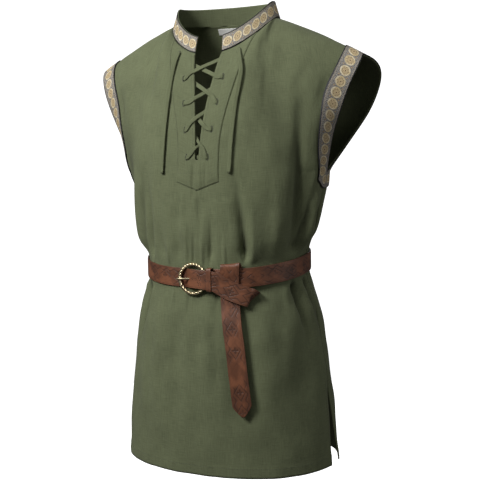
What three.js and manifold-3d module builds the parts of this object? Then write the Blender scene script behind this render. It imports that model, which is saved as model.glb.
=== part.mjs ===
// Sleeveless renaissance tunic, filled out as if worn, with a laced neck slit, woven trims and a belt.
// Millimetres. +Z is up, the front faces -Y, and the wearer's left side is +X. The origin is the middle
// of the neck, level with the highest point of the shoulders.

import * as THREE from 'three';
import { mergeVertices } from 'three/addons/utils/BufferGeometryUtils.js';
import Module from 'manifold-3d';

const wasm = await Module();
wasm.setup();

// Cloth walls and the gap that sewn pieces keep
const WALL = 1.5;
const SEAM_GAP = 0.3;
const TRIM_WALL = 1;
const FACING_WALL = 0.9;
const LABEL_WALL = 0.5;
const LABEL_LEVELS = [0.912, 0.974];
const LABEL_TURN = 188;
const LABEL_HALF_TURN = 6.4;

// Grid of the panels: columns from the middle to the side-neck point, from there to the armhole trim
// and under the trim, and rows of the skirt, the waist and the chest.
const FRONT_STEPS = { neck: 9, shoulder: 5, trim: 3 };
const BACK_STEPS = { neck: 7, shoulder: 4, trim: 3 };
const SKIRT_ROWS = 9;
const WAIST_ROWS = 6;
const CHEST_ROWS = 12;

// Neck, shoulders and armholes
const NECK_HALF = 108;
const NECK_FRONT = 80;
const NECK_FRONT_DROP = 68;
const NECK_BACK = 69;
const NECK_BACK_DROP = -4;
const NECK_DIP = 1.6;
const NECK_TURN = 48;
const SHOULDER_HALF = 273;
const SHOULDER_DROP = 78;
const ARMPIT_HEIGHT = -286;
const EDGE_TURN = 58;

// Pull of the cloth's columns: outwards, towards the panel's own side, and up.
const CHEST_RISE = 230;
const NECK_PULL = { out: 0, ahead: -80, up: 190 };
const FRONT_RIDGE_PULL = { out: 0, ahead: -230, up: 20 };
const BACK_RIDGE_PULL = { out: 0, ahead: -350, up: 40 };
const NAPE_PULL = { out: -110, ahead: 190, up: 20 };
const NAPE = { start: 8, full: 44, fades: 50, end: 80 };
const FRONT_ARMHOLE = {
  bottom: { out: 30, ahead: 95, up: 190 },
  top: { out: -25, ahead: -130, up: 60 },
};
const BACK_ARMHOLE = {
  bottom: { out: 20, ahead: 250, up: 150 },
  top: { out: -150, ahead: -450, up: 60 },
};

// Hem and side slits
const HEM_HEIGHT = -838;
const SIDE_SLIT = 150;
const SIDE_SLIT_SPREAD = 18;

// Collar
const COLLAR_HEIGHT = 34;
const COLLAR_LEAN = 0.3;
const COLLAR_TRIM_INSET = 0.6;

// Neck slit and the pointed facing round it
const SLIT_TOP_HALF = 28;
const SLIT_BOTTOM_HALF = 3.8;
const SLIT_BOTTOM_LEVEL = 0.1;
const SLIT_CURVE = 1.6;
const FACING_CORNER_HEIGHT = -302;
const FACING_POINT_HEIGHT = -318;
const FACING_OUTLINE = [
  { height: FACING_CORNER_HEIGHT, half: 44 },
  { height: -252, half: 45 },
  { height: -201, half: 51 },
  { height: -145, half: 67 },
  { height: -95, half: 86 },
  { height: -50, half: 104 },
];

// Armhole trims
const TRIM_WIDTH = 35;
const TRIM_BELOW = 32;

// Lacing: a flat tie of the tunic's cloth, and its holes from the bottom row up
const LACE_WIDTH = 7.5;
const LACE_THICK = 1.6;
const LACE_SQUEEZED = 5.4;
const LACE_APART = 4.7;
const LACE_HOLE_TALL = 10.5;
const LACE_HOLE_WIDE = 4.4;
const LACE_HOLES = [
  { half: 19, height: -257 },
  { half: 25, height: -207 },
  { half: 32, height: -158 },
  { half: 38, height: -112 },
  { half: 60, height: -64 },
];
const LACE_END_WIDTH = 8;
const LACE_END_THICK = 4;

// Belt
const BELT_HEIGHT = -458;
const BELT_WIDTH = 35;
const BELT_THICK = 2.6;
const BELT_LIFT = 2.6;

// Buckle
const RING_TURN = -3.4;
const RING_RADIUS = 27;
const ROPE_RADIUS = 3.3;
const ROPE_STRANDS = 3;
const ROPE_TWISTS = 8;
const ROPE_RELIEF = 0.16;
const RING_LIFT = 6.6;
const PRONG_RADIUS = 1.9;
const KEEPER_TURN = 11.4;
const KEEPER_LONG = 9;
const KEEPER_TALL = 40.4;
const KEEPER_DROP = 1.6;
const KEEPER_THICK = 1.3;

// Horizontal sections from the hem up: half width, depth in front of and behind the middle, and the
// slope of the section from front to back.
const SQUARENESS = 2.2;
const SECTIONS = [
  { height: HEM_HEIGHT, half: 214, front: 158, back: 137, tilt: 0.02 },
  { height: -740, half: 206, front: 157, back: 134, tilt: 0.03 },
  { height: -640, half: 195, front: 153, back: 124, tilt: 0.06 },
  { height: -550, half: 181, front: 146, back: 110, tilt: 0.1 },
  { height: -500, half: 166, front: 139, back: 98, tilt: 0.135 },
  { height: -479, half: 160, front: 136.5, back: 94.5, tilt: 0.145 },
  { height: BELT_HEIGHT, half: 159.6, front: 136.3, back: 94.3, tilt: 0.145 },
  { height: -437, half: 160, front: 136.5, back: 94.5, tilt: 0.145 },
  { height: -420, half: 166, front: 137.5, back: 97, tilt: 0.13 },
  { height: -400, half: 177, front: 138, back: 102, tilt: 0.1 },
  { height: -340, half: 191, front: 136, back: 108, tilt: 0.04 },
  { height: ARMPIT_HEIGHT, half: 201, front: 133, back: 112, tilt: 0 },
];

// Largest folds. A fold runs between two heights and two turns and is deepest at the fraction `peak`
// of the way down; half is half its width and depth is negative for a valley.
const FOLD_MM_PER_DEGREE = 2.6;
const BELT_CLEAR = { inner: 21, outer: 46 };
const FOLDS = [
  { top: -80, bottom: -452, topTurn: 66, bottomTurn: 71, peak: 0.92, half: 24, depth: -13 },
  { top: -250, bottom: -452, topTurn: 82, bottomTurn: 80, peak: 0.85, half: 20, depth: 7 },
  { top: -270, bottom: -450, topTurn: 27, bottomTurn: 38, peak: 0.8, half: 19, depth: -7 },
  { top: -330, bottom: -450, topTurn: 41, bottomTurn: 45, peak: 0.8, half: 16, depth: 5 },
  { top: -330, bottom: -450, topTurn: 11, bottomTurn: 11, peak: 0.7, half: 16, depth: -5 },
  { top: -330, bottom: -450, topTurn: -19, bottomTurn: -17, peak: 0.7, half: 18, depth: -5 },
  { top: -320, bottom: -450, topTurn: -34, bottomTurn: -33, peak: 0.7, half: 18, depth: -5 },
  { top: -220, bottom: -452, topTurn: -46, bottomTurn: -49, peak: 0.75, half: 20, depth: -10 },
  { top: -240, bottom: -452, topTurn: -62, bottomTurn: -66, peak: 0.8, half: 24, depth: 8 },
  { top: -60, bottom: -250, topTurn: -62, bottomTurn: -58, peak: 0.5, half: 22, depth: -5 },
  { top: -464, bottom: -640, topTurn: -54, bottomTurn: -60, peak: 0.15, half: 22, depth: -11 },
  { top: -464, bottom: -620, topTurn: 73, bottomTurn: 78, peak: 0.2, half: 20, depth: -11 },
  { top: -540, bottom: -790, topTurn: 76, bottomTurn: 62, peak: 0.4, half: 34, depth: -7 },
  { top: -470, bottom: -820, topTurn: 45, bottomTurn: 47, peak: 0.4, half: 34, depth: 6 },
  { top: -470, bottom: -800, topTurn: -18, bottomTurn: -15, peak: 0.4, half: 26, depth: -6 },
  { top: -470, bottom: -800, topTurn: -32, bottomTurn: -34, peak: 0.3, half: 22, depth: 4 },
  { top: -470, bottom: -780, topTurn: 6, bottomTurn: 10, peak: 0.3, half: 22, depth: 4 },
  { top: -100, bottom: -452, topTurn: 112, bottomTurn: 106, peak: 0.9, half: 24, depth: -12 },
  { top: -260, bottom: -452, topTurn: 128, bottomTurn: 126, peak: 0.85, half: 20, depth: -8 },
  { top: -300, bottom: -452, topTurn: 150, bottomTurn: 147, peak: 0.85, half: 20, depth: -8 },
  { top: -320, bottom: -452, topTurn: 176, bottomTurn: 173, peak: 0.85, half: 20, depth: -7 },
  { top: -280, bottom: -452, topTurn: 199, bottomTurn: 202, peak: 0.85, half: 22, depth: -9 },
  { top: -270, bottom: -452, topTurn: 226, bottomTurn: 229, peak: 0.85, half: 20, depth: -8 },
  { top: -110, bottom: -452, topTurn: 248, bottomTurn: 253, peak: 0.9, half: 24, depth: -11 },
  { top: -464, bottom: -700, topTurn: 118, bottomTurn: 116, peak: 0.25, half: 26, depth: -9 },
  { top: -464, bottom: -780, topTurn: 145, bottomTurn: 141, peak: 0.3, half: 26, depth: -8 },
  { top: -464, bottom: -740, topTurn: 183, bottomTurn: 186, peak: 0.25, half: 26, depth: -8 },
  { top: -464, bottom: -790, topTurn: 214, bottomTurn: 218, peak: 0.3, half: 26, depth: -9 },
  { top: -464, bottom: -680, topTurn: 244, bottomTurn: 246, peak: 0.25, half: 26, depth: -9 },
];

const radians = THREE.MathUtils.degToRad;
const { lerp, clamp, smoothstep } = THREE.MathUtils;

function spread(from, to, steps) {
  return Array.from({ length: steps + 1 }, (_, k) => lerp(from, to, k / steps));
}

function hermite(start, startSlope, end, endSlope, t) {
  const t2 = t * t;
  const t3 = t2 * t;
  return (2 * t3 - 3 * t2 + 1) * start + (t3 - 2 * t2 + t) * startSlope
    + (3 * t2 - 2 * t3) * end + (t3 - t2) * endSlope;
}

// One named column of a table, read smoothly between rows that rise by another column.
function readTable(rows, by, column, at) {
  let low = 0;
  while (low < rows.length - 2 && at > rows[low + 1][by]) low += 1;
  const slope = (k) => {
    const before = rows[Math.max(k - 1, 0)];
    const after = rows[Math.min(k + 1, rows.length - 1)];
    return (after[column] - before[column]) / (after[by] - before[by]);
  };
  const start = rows[low];
  const end = rows[low + 1];
  const span = end[by] - start[by];
  const t = clamp((at - start[by]) / span, 0, 1);
  return hermite(start[column], slope(low) * span, end[column], slope(low + 1) * span, t);
}

// The body below the armholes. Turn is the angle in degrees from the centre front towards the
// wearer's left, so 90 is the left side seam and 180 the centre back.
function ringPoint(turn, height) {
  const at = clamp(height, HEM_HEIGHT, ARMPIT_HEIGHT);
  const side = Math.sin(radians(turn));
  const ahead = Math.cos(radians(turn));
  const half = readTable(SECTIONS, 'height', 'half', at);
  const depth = readTable(SECTIONS, 'height', ahead > 0 ? 'front' : 'back', at);
  const tilt = readTable(SECTIONS, 'height', 'tilt', at);
  const reach = ((Math.abs(side) / half) ** SQUARENESS + (Math.abs(ahead) / depth) ** SQUARENESS)
    ** (-1 / SQUARENESS);
  const y = -reach * ahead;
  return new THREE.Vector3(reach * side, y, height + tilt * y);
}

// The neck edge. The angle runs from 0 at the centre front to 180 at the centre back.
function neckPoint(angle) {
  const ahead = Math.cos(radians(angle));
  const depth = ahead > 0 ? NECK_FRONT : NECK_BACK;
  const drop = ahead > 0 ? NECK_FRONT_DROP : NECK_BACK_DROP;
  const x = NECK_HALF * Math.sin(radians(angle));
  return new THREE.Vector3(x, -depth * ahead, -drop * Math.abs(ahead) ** NECK_DIP);
}

// Which panel a turn lies on, and its angle from that panel's middle.
function panelOf(turn) {
  const onFront = turn <= 90;
  const aside = onFront ? turn : 180 - turn;
  return { facing: onFront ? 1 : -1, across: Math.abs(aside), side: Math.sign(aside) || 1 };
}

// Top edge of a panel: the neck edge, then the shoulder seam out to the tip.
function topPoint(turn) {
  const { facing, across, side } = panelOf(turn);
  if (across <= NECK_TURN) {
    const angle = 90 * across / NECK_TURN;
    const point = neckPoint(facing > 0 ? angle : 180 - angle);
    point.x *= side;
    return point;
  }
  const out = (across - NECK_TURN) / (90 - NECK_TURN);
  const drop = SHOULDER_DROP * (0.75 * out + 0.25 * out * out);
  return new THREE.Vector3(side * lerp(NECK_HALF, SHOULDER_HALF, out), 0, -drop);
}

// Direction and pull of a column of cloth where it leaves the armhole level and where it reaches the
// top edge.
function columnPulls(turn) {
  const { facing, across, side } = panelOf(turn);
  const rise = ringPoint(turn, ARMPIT_HEIGHT).sub(ringPoint(turn, ARMPIT_HEIGHT - 2)).normalize();
  const edge = smoothstep(across, EDGE_TURN, 90);
  const turned = smoothstep(across, 0, NECK_TURN);
  const armhole = facing > 0 ? FRONT_ARMHOLE : BACK_ARMHOLE;
  const ridge = facing > 0 ? FRONT_RIDGE_PULL : BACK_RIDGE_PULL;
  const pull = (row) => new THREE.Vector3(side * row.out, row.ahead * -facing, row.up);
  const bottom = rise.multiplyScalar(CHEST_RISE).lerp(pull(armhole.bottom), edge);
  const top = pull(NECK_PULL).lerp(pull(ridge), turned).lerp(pull(armhole.top), edge);
  if (facing < 0) {
    const nape = smoothstep(across, NAPE.start, NAPE.full) * smoothstep(-across, -NAPE.end, -NAPE.fades);
    top.addScaledVector(pull(NAPE_PULL), nape);
  }
  return { bottom, top };
}

// Depth of all folds at one place, positive outwards. Nothing folds where the belt presses.
function foldDepth(turn, height) {
  const clear = smoothstep(Math.abs(height - BELT_HEIGHT), BELT_CLEAR.inner, BELT_CLEAR.outer);
  let depth = 0;
  for (const fold of FOLDS) {
    const down = (fold.top - height) / (fold.top - fold.bottom);
    const apart = (turn - lerp(fold.topTurn, fold.bottomTurn, down)) * FOLD_MM_PER_DEGREE / fold.half;
    if (down > 0 && down < 1 && Math.abs(apart) < 1) {
      const strength = smoothstep(down, 0, fold.peak) * smoothstep(1 - down, 0, 1 - fold.peak);
      depth += fold.depth * strength * (1 + Math.cos(Math.PI * apart)) / 2;
    }
  }
  return depth * clear;
}

// Horizontal direction out of a section.
function outward(turn, height) {
  const ahead = ringPoint(turn + 1, height);
  const behind = ringPoint(turn - 1, height);
  return new THREE.Vector3(ahead.y - behind.y, behind.x - ahead.x, 0).normalize();
}

// The cloth's outer face. Level is -1 at the hem, 0 at the armholes' lowest point and 1 at the top edge.
function clothPoint(turn, level) {
  if (level <= 0) {
    const height = lerp(ARMPIT_HEIGHT, HEM_HEIGHT, -level);
    return ringPoint(turn, height).addScaledVector(outward(turn, height), foldDepth(turn, height));
  }
  const start = ringPoint(turn, ARMPIT_HEIGHT);
  const end = topPoint(turn);
  const { bottom, top } = columnPulls(turn);
  const axis = (name) => hermite(start[name], bottom[name], end[name], top[name], level);
  const point = new THREE.Vector3(axis('x'), axis('y'), axis('z'));
  return point.addScaledVector(outward(turn, ARMPIT_HEIGHT), foldDepth(turn, point.z));
}

function levelOf(height) {
  return (height - ARMPIT_HEIGHT) / (ARMPIT_HEIGHT - HEM_HEIGHT);
}

// Direction out of the cloth's face, kept on the place's own panel.
function clothNormal(turn, level) {
  const low = turn <= 90 ? -90 : 90;
  const turnStep = 1;
  const levelStep = 0.004;
  const right = clothPoint(Math.min(turn + turnStep, low + 180), level);
  const left = clothPoint(Math.max(turn - turnStep, low), level);
  const up = clothPoint(turn, Math.min(level + levelStep, 1));
  const down = clothPoint(turn, Math.max(level - levelStep, -1));
  return right.sub(left).cross(up.sub(down)).normalize();
}

// Half width of the neck slit as a turn.
function slitTurn(level) {
  if (level <= SLIT_BOTTOM_LEVEL) return 0;
  const open = (level - SLIT_BOTTOM_LEVEL) / (1 - SLIT_BOTTOM_LEVEL);
  const half = lerp(SLIT_BOTTOM_HALF, SLIT_TOP_HALF, open ** SLIT_CURVE);
  return half / chestMmPerDegree(level);
}

// Millimetres across the middle of the chest for one degree of turn.
function chestMmPerDegree(level) {
  const atArmpit = radians(ringPoint(0, ARMPIT_HEIGHT).y * -1);
  const atNeck = radians(NECK_HALF) * 90 / NECK_TURN;
  return lerp(atArmpit, atNeck, clamp(level, 0, 1));
}

// A grid column's turn once the slit has pushed the middle columns aside.
function besideSlit(turn, level) {
  const across = Math.abs(turn);
  const pushed = slitTurn(level) * Math.max(1 - across / NECK_TURN, 0);
  return (across + pushed) * Math.sign(turn);
}

// A place on the cloth at a given distance from its outer face.
function corner(turn, level, lift = 0) {
  const normal = clothNormal(turn, level);
  return { outer: clothPoint(turn, level).addScaledVector(normal, lift), normal };
}

// A corner of a panel. On the side and shoulder seams it keeps half the seam gap from the seam's plane,
// and below the side slit's top it swings away from it.
function panelCorner(turn, level) {
  const made = corner(turn, level);
  const { facing, across } = panelOf(turn);
  const onSide = across > 89.9 && level <= 0;
  const onShoulder = across > NECK_TURN - 0.1 && level > 0.999;
  if (onSide || onShoulder) {
    const slitTop = levelOf(HEM_HEIGHT + SIDE_SLIT);
    const belowSlit = onSide ? clamp((slitTop - level) / (slitTop + 1), 0, 1) : 0;
    made.outer.y -= facing * (SEAM_GAP / 2 + SIDE_SLIT_SPREAD * belowSlit);
    made.normal.setY(0).normalize();
  }
  return made;
}

// A closed wall behind cells of four corners each, counter-clockwise from outside. Cells share a corner
// by holding the same object.
function wallGeometry(cells, wall) {
  const index = new Map();
  const vertices = [];
  const keep = (made) => {
    if (!index.has(made)) {
      index.set(made, index.size);
      const inner = made.outer.clone().addScaledVector(made.normal, -wall);
      vertices.push(...made.outer.toArray(), ...inner.toArray());
    }
    return index.get(made) * 2;
  };
  const triangles = [];
  const edges = new Map();
  const face = (a, b, c) => {
    triangles.push(a, b, c, c + 1, b + 1, a + 1);
    for (const [from, to] of [[a, b], [b, c], [c, a]]) {
      if (!edges.delete(`${to}>${from}`)) edges.set(`${from}>${to}`, [from, to]);
    }
  };
  for (const cell of cells) {
    const [a, b, c, d] = cell.map(keep);
    if (a !== b && b !== c && c !== a) face(a, b, c);
    if (c !== d && d !== a && a !== c) face(a, c, d);
  }
  for (const [from, to] of edges.values()) {
    triangles.push(to, from, from + 1, to, from + 1, to + 1);
  }
  const geometry = new THREE.BufferGeometry();
  geometry.setAttribute('position', new THREE.Float32BufferAttribute(vertices, 3));
  geometry.setIndex(triangles);
  return geometry;
}

function toManifold(geometry) {
  const bare = geometry.clone();
  bare.deleteAttribute('normal');
  bare.deleteAttribute('uv');
  const merged = mergeVertices(bare, 1e-4);
  const triVerts = new Uint32Array(merged.index.array);
  const vertProperties = new Float32Array(merged.attributes.position.array);
  return new wasm.Manifold(new wasm.Mesh({ numProp: 3, vertProperties, triVerts }));
}

function fromManifold(solid) {
  const mesh = solid.getMesh();
  const geometry = new THREE.BufferGeometry();
  geometry.setAttribute('position', new THREE.BufferAttribute(new Float32Array(mesh.vertProperties), 3));
  geometry.setIndex(new THREE.BufferAttribute(new Uint32Array(mesh.triVerts), 1));
  return geometry;
}

function cutBy(geometry, cutters) {
  return fromManifold(cutters.reduce((left, cutter) => left.subtract(toManifold(cutter)), toManifold(geometry)));
}

// Cells between neighbouring rows of corners.
function cellsBetween(rows) {
  const cells = [];
  for (let j = 0; j < rows.length - 1; j += 1) {
    for (let i = 0; i < rows[j].length - 1; i += 1) {
      cells.push([rows[j][i], rows[j][i + 1], rows[j + 1][i + 1], rows[j + 1][i]]);
    }
  }
  return cells;
}

const garment = new THREE.Group();

const CLOTH = { color: 0x66704f, roughness: 0.9, metalness: 0 };
const TRIM = { color: 0x8a7a5c, roughness: 0.8, metalness: 0 };
const LEATHER = { color: 0x6e4029, roughness: 0.55, metalness: 0 };
const BRASS = { color: 0xa08a5a, roughness: 0.4, metalness: 0.9 };
const LABEL = { color: 0xe8e6df, roughness: 0.8, metalness: 0 };

function addPiece(name, geometry, finish) {
  const mesh = new THREE.Mesh(geometry, new THREE.MeshStandardMaterial(finish));
  mesh.name = name;
  garment.add(mesh);
  return mesh;
}

// Body panels

// Turn of the side edge of the front (facing 1) and of the back (facing -1). The back's is a hair more,
// so that it counts as a place on the back.
function sideTurn(facing) {
  return facing > 0 ? 90 : 90.001;
}

// Width of the armhole trim as a turn at one level of the front or the back.
function trimTurn(facing, level) {
  const edgeTurn = sideTurn(facing);
  const at = clothPoint(edgeTurn, level);
  const beside = clothPoint(edgeTurn - facing, level).sub(at);
  const along = clothPoint(edgeTurn, Math.min(level + 0.02, 1)).sub(clothPoint(edgeTurn, Math.max(level - 0.02, 0)));
  const slant = Math.sin(beside.angleTo(along));
  return TRIM_WIDTH / Math.max(slant, 0.75) / beside.length();
}

// Turns of one half of a panel's columns, from its middle to the side.
function halfTurns(steps, facing, level) {
  const covered = 90 - trimTurn(facing, Math.max(level, 0));
  return [
    ...spread(0, NECK_TURN, steps.neck),
    ...spread(NECK_TURN, covered, steps.shoulder).slice(1),
    ...spread(covered, 90, steps.trim).slice(1),
  ];
}

const panelLevels = [
  ...spread(HEM_HEIGHT, BELT_HEIGHT - BELT_CLEAR.inner, SKIRT_ROWS).map(levelOf),
  levelOf(BELT_HEIGHT + BELT_CLEAR.inner),
  ...spread(BELT_HEIGHT + BELT_CLEAR.inner, ARMPIT_HEIGHT, WAIST_ROWS).slice(1).map(levelOf),
  ...spread(SLIT_BOTTOM_LEVEL, 1, CHEST_ROWS),
];

function frontPanel() {
  const shared = new Map();
  const half = (side) => panelLevels.map((level) => halfTurns(FRONT_STEPS, 1, level).map((across) => {
    const open = level > SLIT_BOTTOM_LEVEL + 0.001;
    if (across === 0 && !open) {
      if (!shared.has(level)) shared.set(level, panelCorner(0, level));
      return shared.get(level);
    }
    const turn = across === 0 ? side * slitTurn(level) : besideSlit(side * across, level);
    return panelCorner(turn, level);
  }));
  const right = half(-1).map((row) => row.reverse());
  return [...cellsBetween(right), ...cellsBetween(half(1))];
}

function backPanel() {
  return cellsBetween(panelLevels.map((level) => {
    const half = halfTurns(BACK_STEPS, -1, level);
    const left = half.map((across) => Math.max(180 - across, sideTurn(-1))).reverse();
    const turns = [...left, ...half.slice(1).map((across) => 180 + across)];
    return turns.map((turn) => panelCorner(turn, level));
  }));
}

// Collar

// A strip round the neck edge between two heights of the collar, standing out by a lift.
function collarStrip(low, high, lift) {
  const frontAngles = spread(0, NECK_TURN, FRONT_STEPS.neck)
    .map((across) => (across === 0 ? slitTurn(1) : besideSlit(across, 1)) * 90 / NECK_TURN);
  const backAngles = spread(180, 90, BACK_STEPS.neck).slice(0, -1).reverse();
  const oneSide = [...frontAngles, ...backAngles];
  const angles = [...oneSide, ...oneSide.slice(0, -1).map((angle) => 360 - angle).reverse()];
  const place = (angle, height) => {
    const base = neckPoint(angle > 180 ? 360 - angle : angle);
    if (angle > 180) base.x *= -1;
    const out = new THREE.Vector3(Math.sin(radians(angle)) / NECK_HALF, -Math.cos(radians(angle)) / NECK_FRONT, 0)
      .normalize();
    const up = new THREE.Vector3(0, 0, 1).addScaledVector(out, -COLLAR_LEAN).normalize();
    const normal = out.clone().addScaledVector(new THREE.Vector3(0, 0, 1), COLLAR_LEAN).normalize();
    return { outer: base.addScaledVector(up, height).addScaledVector(normal, lift), normal };
  };
  return cellsBetween([low, high].map((height) => angles.map((angle) => place(angle, height))));
}

// Pieces that lie on the front panel

// Turn and level of a place on the chest given by its distance from the middle and its height.
function chestSpot(x, height) {
  let turn = x / chestMmPerDegree(0.5);
  let level = (height - ARMPIT_HEIGHT) / (ARMPIT_HEIGHT * -1);
  for (let k = 0; k < 25; k += 1) {
    const at = clothPoint(turn, level);
    turn += (x - at.x) / chestMmPerDegree(level);
    level += (height - at.z) / 300;
  }
  return { turn, level };
}

function chestPoint(x, height, lift) {
  const { turn, level } = chestSpot(x, height);
  return corner(turn, level, lift).outer;
}

const FACING_LIFT = SEAM_GAP + 0.15 + FACING_WALL;
const FACING_TOP_LEVEL = 0.985;

// The facing uses the front panel's columns out to its own outline, so its cells lie over the panel's.
function facingPanel() {
  const levels = [...panelLevels.filter((level) => level > SLIT_BOTTOM_LEVEL - 0.001 && level < 0.97), FACING_TOP_LEVEL];
  const outlineTurn = (level) => {
    const { z } = clothPoint(15, level);
    return readTable(FACING_OUTLINE, 'height', 'half', z) / chestMmPerDegree(level);
  };
  const columns = halfTurns(FRONT_STEPS, 1, 0).filter((across) => across <= NECK_TURN);
  const shared = new Map();
  const middle = (key, make) => {
    if (!shared.has(key)) shared.set(key, make());
    return shared.get(key);
  };
  const row = (side, level) => {
    const edge = corner(side * outlineTurn(level), level, FACING_LIFT);
    return columns.map((across) => {
      if (across === 0 && level < SLIT_BOTTOM_LEVEL + 0.001) {
        return middle(level, () => corner(0, level, FACING_LIFT));
      }
      const turn = across === 0 ? slitTurn(level) : besideSlit(across, level);
      return turn < outlineTurn(level) - 0.3 ? corner(side * turn, level, FACING_LIFT) : edge;
    });
  };
  const lowTurn = outlineTurn(SLIT_BOTTOM_LEVEL);
  const lowCorner = (turn, down) => {
    const top = clothPoint(turn, SLIT_BOTTOM_LEVEL).z;
    const bottom = lerp(FACING_POINT_HEIGHT, FACING_CORNER_HEIGHT, Math.abs(turn) / lowTurn);
    const height = lerp(bottom, top, down);
    let level = SLIT_BOTTOM_LEVEL;
    for (let k = 0; k < 25; k += 1) level += (height - clothPoint(turn, level).z) / 400;
    return corner(turn, level, FACING_LIFT);
  };
  const lowRow = (side, down) => {
    const edge = lowCorner(side * lowTurn, down);
    return columns.map((across) => {
      if (across === 0) return middle(`low ${down}`, () => lowCorner(0, down));
      return across < lowTurn - 0.3 ? lowCorner(side * across, down) : edge;
    });
  };
  const strip = (side) => {
    const rows = [...[0, 0.5].map((down) => lowRow(side, down)), ...levels.map((level) => row(side, level))];
    return side > 0 ? rows : rows.map((corners) => corners.reverse());
  };
  return [...cellsBetween(strip(-1)), ...cellsBetween(strip(1))];
}

// A trim strip round one armhole: a band up the front edge and one up the back edge, laid on the panels'
// own columns, and a rounded foot below the armpit.
function armholeTrim(side) {
  const lift = SEAM_GAP + TRIM_WALL;
  const footLift = lift + 0.8;
  const footSteps = 5;
  const levels = panelLevels.filter((level) => level >= 0);
  const place = (turn, level, off = lift, bridges = false) => {
    const onSide = side > 0 ? turn : -turn;
    const made = corner(onSide < -90 ? onSide + 360 : onSide, level);
    if (bridges) made.normal.setY(0).normalize();
    made.outer.addScaledVector(made.normal, off);
    return made;
  };
  const seam = new Map();
  const onSeam = (key, turn, level, off = lift) => {
    if (!seam.has(key)) seam.set(key, place(turn, level, off, true));
    return seam.get(key);
  };
  const shares = spread(0, 1, FRONT_STEPS.trim);
  const band = (facing) => levels.map((level) => shares.map((q) => {
    if (q === 0 && level === 0) return onSeam('armpit', 90, 0);
    if (level === 1) return onSeam(`tip ${q}`, 90 - trimTurn(1, 1) * q, 1);
    return place(sideTurn(facing) - facing * trimTurn(facing, level) * q, level);
  }));
  const frontBand = band(1).map((row) => row.reverse());
  const backBand = band(-1);
  const foot = [0.95, 0.75, 0.45, 0.2].map((down) => {
    const level = levelOf(ARMPIT_HEIGHT - TRIM_BELOW * down);
    const narrow = Math.sqrt(1 - down * down);
    const ahead = spread(1, 0, footSteps).slice(0, -1)
      .map((q) => place(90 - trimTurn(1, 0) * q * narrow, level, footLift));
    const behind = spread(0, 1, footSteps).slice(1)
      .map((q) => place(sideTurn(-1) + trimTurn(-1, 0) * q * narrow, level, footLift));
    return [...ahead, onSeam(`foot ${down}`, 90, level, footLift), ...behind];
  });
  const topAhead = frontBand[0];
  const topBehind = backBand[0];
  const rows = cellsBetween(foot);
  const top = foot[foot.length - 1];
  const fan = joinRows(top.slice(0, footSteps + 1), topAhead);
  const fanBehind = joinRows(top.slice(footSteps), topBehind);
  const cells = [...rows, ...fan, ...fanBehind, ...cellsBetween(frontBand), ...cellsBetween(backBand)];
  return side > 0 ? cells : cells.map((cell) => cell.reverse());
}

// Triangles between two rows with different numbers of corners, given as cells with one corner twice.
function joinRows(low, high) {
  const cells = [];
  let i = 0;
  let j = 0;
  while (i < low.length - 1 || j < high.length - 1) {
    const stepLow = j === high.length - 1 || (i < low.length - 1 && (i + 1) / (low.length - 1) <= (j + 1) / (high.length - 1));
    if (stepLow) {
      cells.push([low[i], low[i + 1], high[j], high[j]]);
      i += 1;
    } else {
      cells.push([low[i], low[i], high[j + 1], high[j]]);
      j += 1;
    }
  }
  return cells;
}

function labelPatch() {
  const lift = -(WALL + 4 * SEAM_GAP);
  const turns = spread(LABEL_TURN - LABEL_HALF_TURN, LABEL_TURN + LABEL_HALF_TURN, 6);
  return cellsBetween(LABEL_LEVELS.map((level) => turns.map((turn) => corner(turn, level, lift))));
}

// Straps and ties

// A flat strap through stations that each give the middle, the direction across and the width.
function strapGeometry(stations, thick, taper = () => 1) {
  const vertices = [];
  const triangles = [];
  const last = stations.length - 1;
  stations.forEach((station, k) => {
    const before = stations[Math.max(k - 1, 0)].middle;
    const after = stations[Math.min(k + 1, last)].middle;
    const along = after.clone().sub(before).normalize();
    const face = along.clone().cross(station.across).normalize();
    const across = face.clone().cross(along).normalize();
    const half = station.width / 2 * taper(k / last);
    for (const [sideways, out] of [[-1, -1], [1, -1], [1, 1], [-1, 1]]) {
      const at = station.middle.clone().addScaledVector(across, sideways * half)
        .addScaledVector(face, out * thick / 2);
      vertices.push(...at.toArray());
    }
  });
  for (let k = 0; k < last; k += 1) {
    for (let e = 0; e < 4; e += 1) {
      const a = 4 * k + e;
      const b = 4 * k + (e + 1) % 4;
      triangles.push(a, b, b + 4, a, b + 4, a + 4);
    }
  }
  const end = 4 * last;
  triangles.push(0, 2, 1, 0, 3, 2, end, end + 1, end + 2, end, end + 2, end + 3);
  const geometry = new THREE.BufferGeometry();
  geometry.setAttribute('position', new THREE.Float32BufferAttribute(vertices, 3));
  geometry.setIndex(triangles);
  return facingOut(geometry);
}

// Turns a closed geometry's triangles round where they face inwards.
function facingOut(geometry) {
  const at = geometry.attributes.position;
  const order = geometry.index.array;
  const [a, b, c] = [new THREE.Vector3(), new THREE.Vector3(), new THREE.Vector3()];
  let volume = 0;
  for (let k = 0; k < order.length; k += 3) {
    a.fromBufferAttribute(at, order[k]);
    b.fromBufferAttribute(at, order[k + 1]);
    c.fromBufferAttribute(at, order[k + 2]);
    volume += a.dot(b.cross(c));
  }
  if (volume < 0) {
    for (let k = 0; k < order.length; k += 3) [order[k + 1], order[k + 2]] = [order[k + 2], order[k + 1]];
  }
  return geometry;
}

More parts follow.
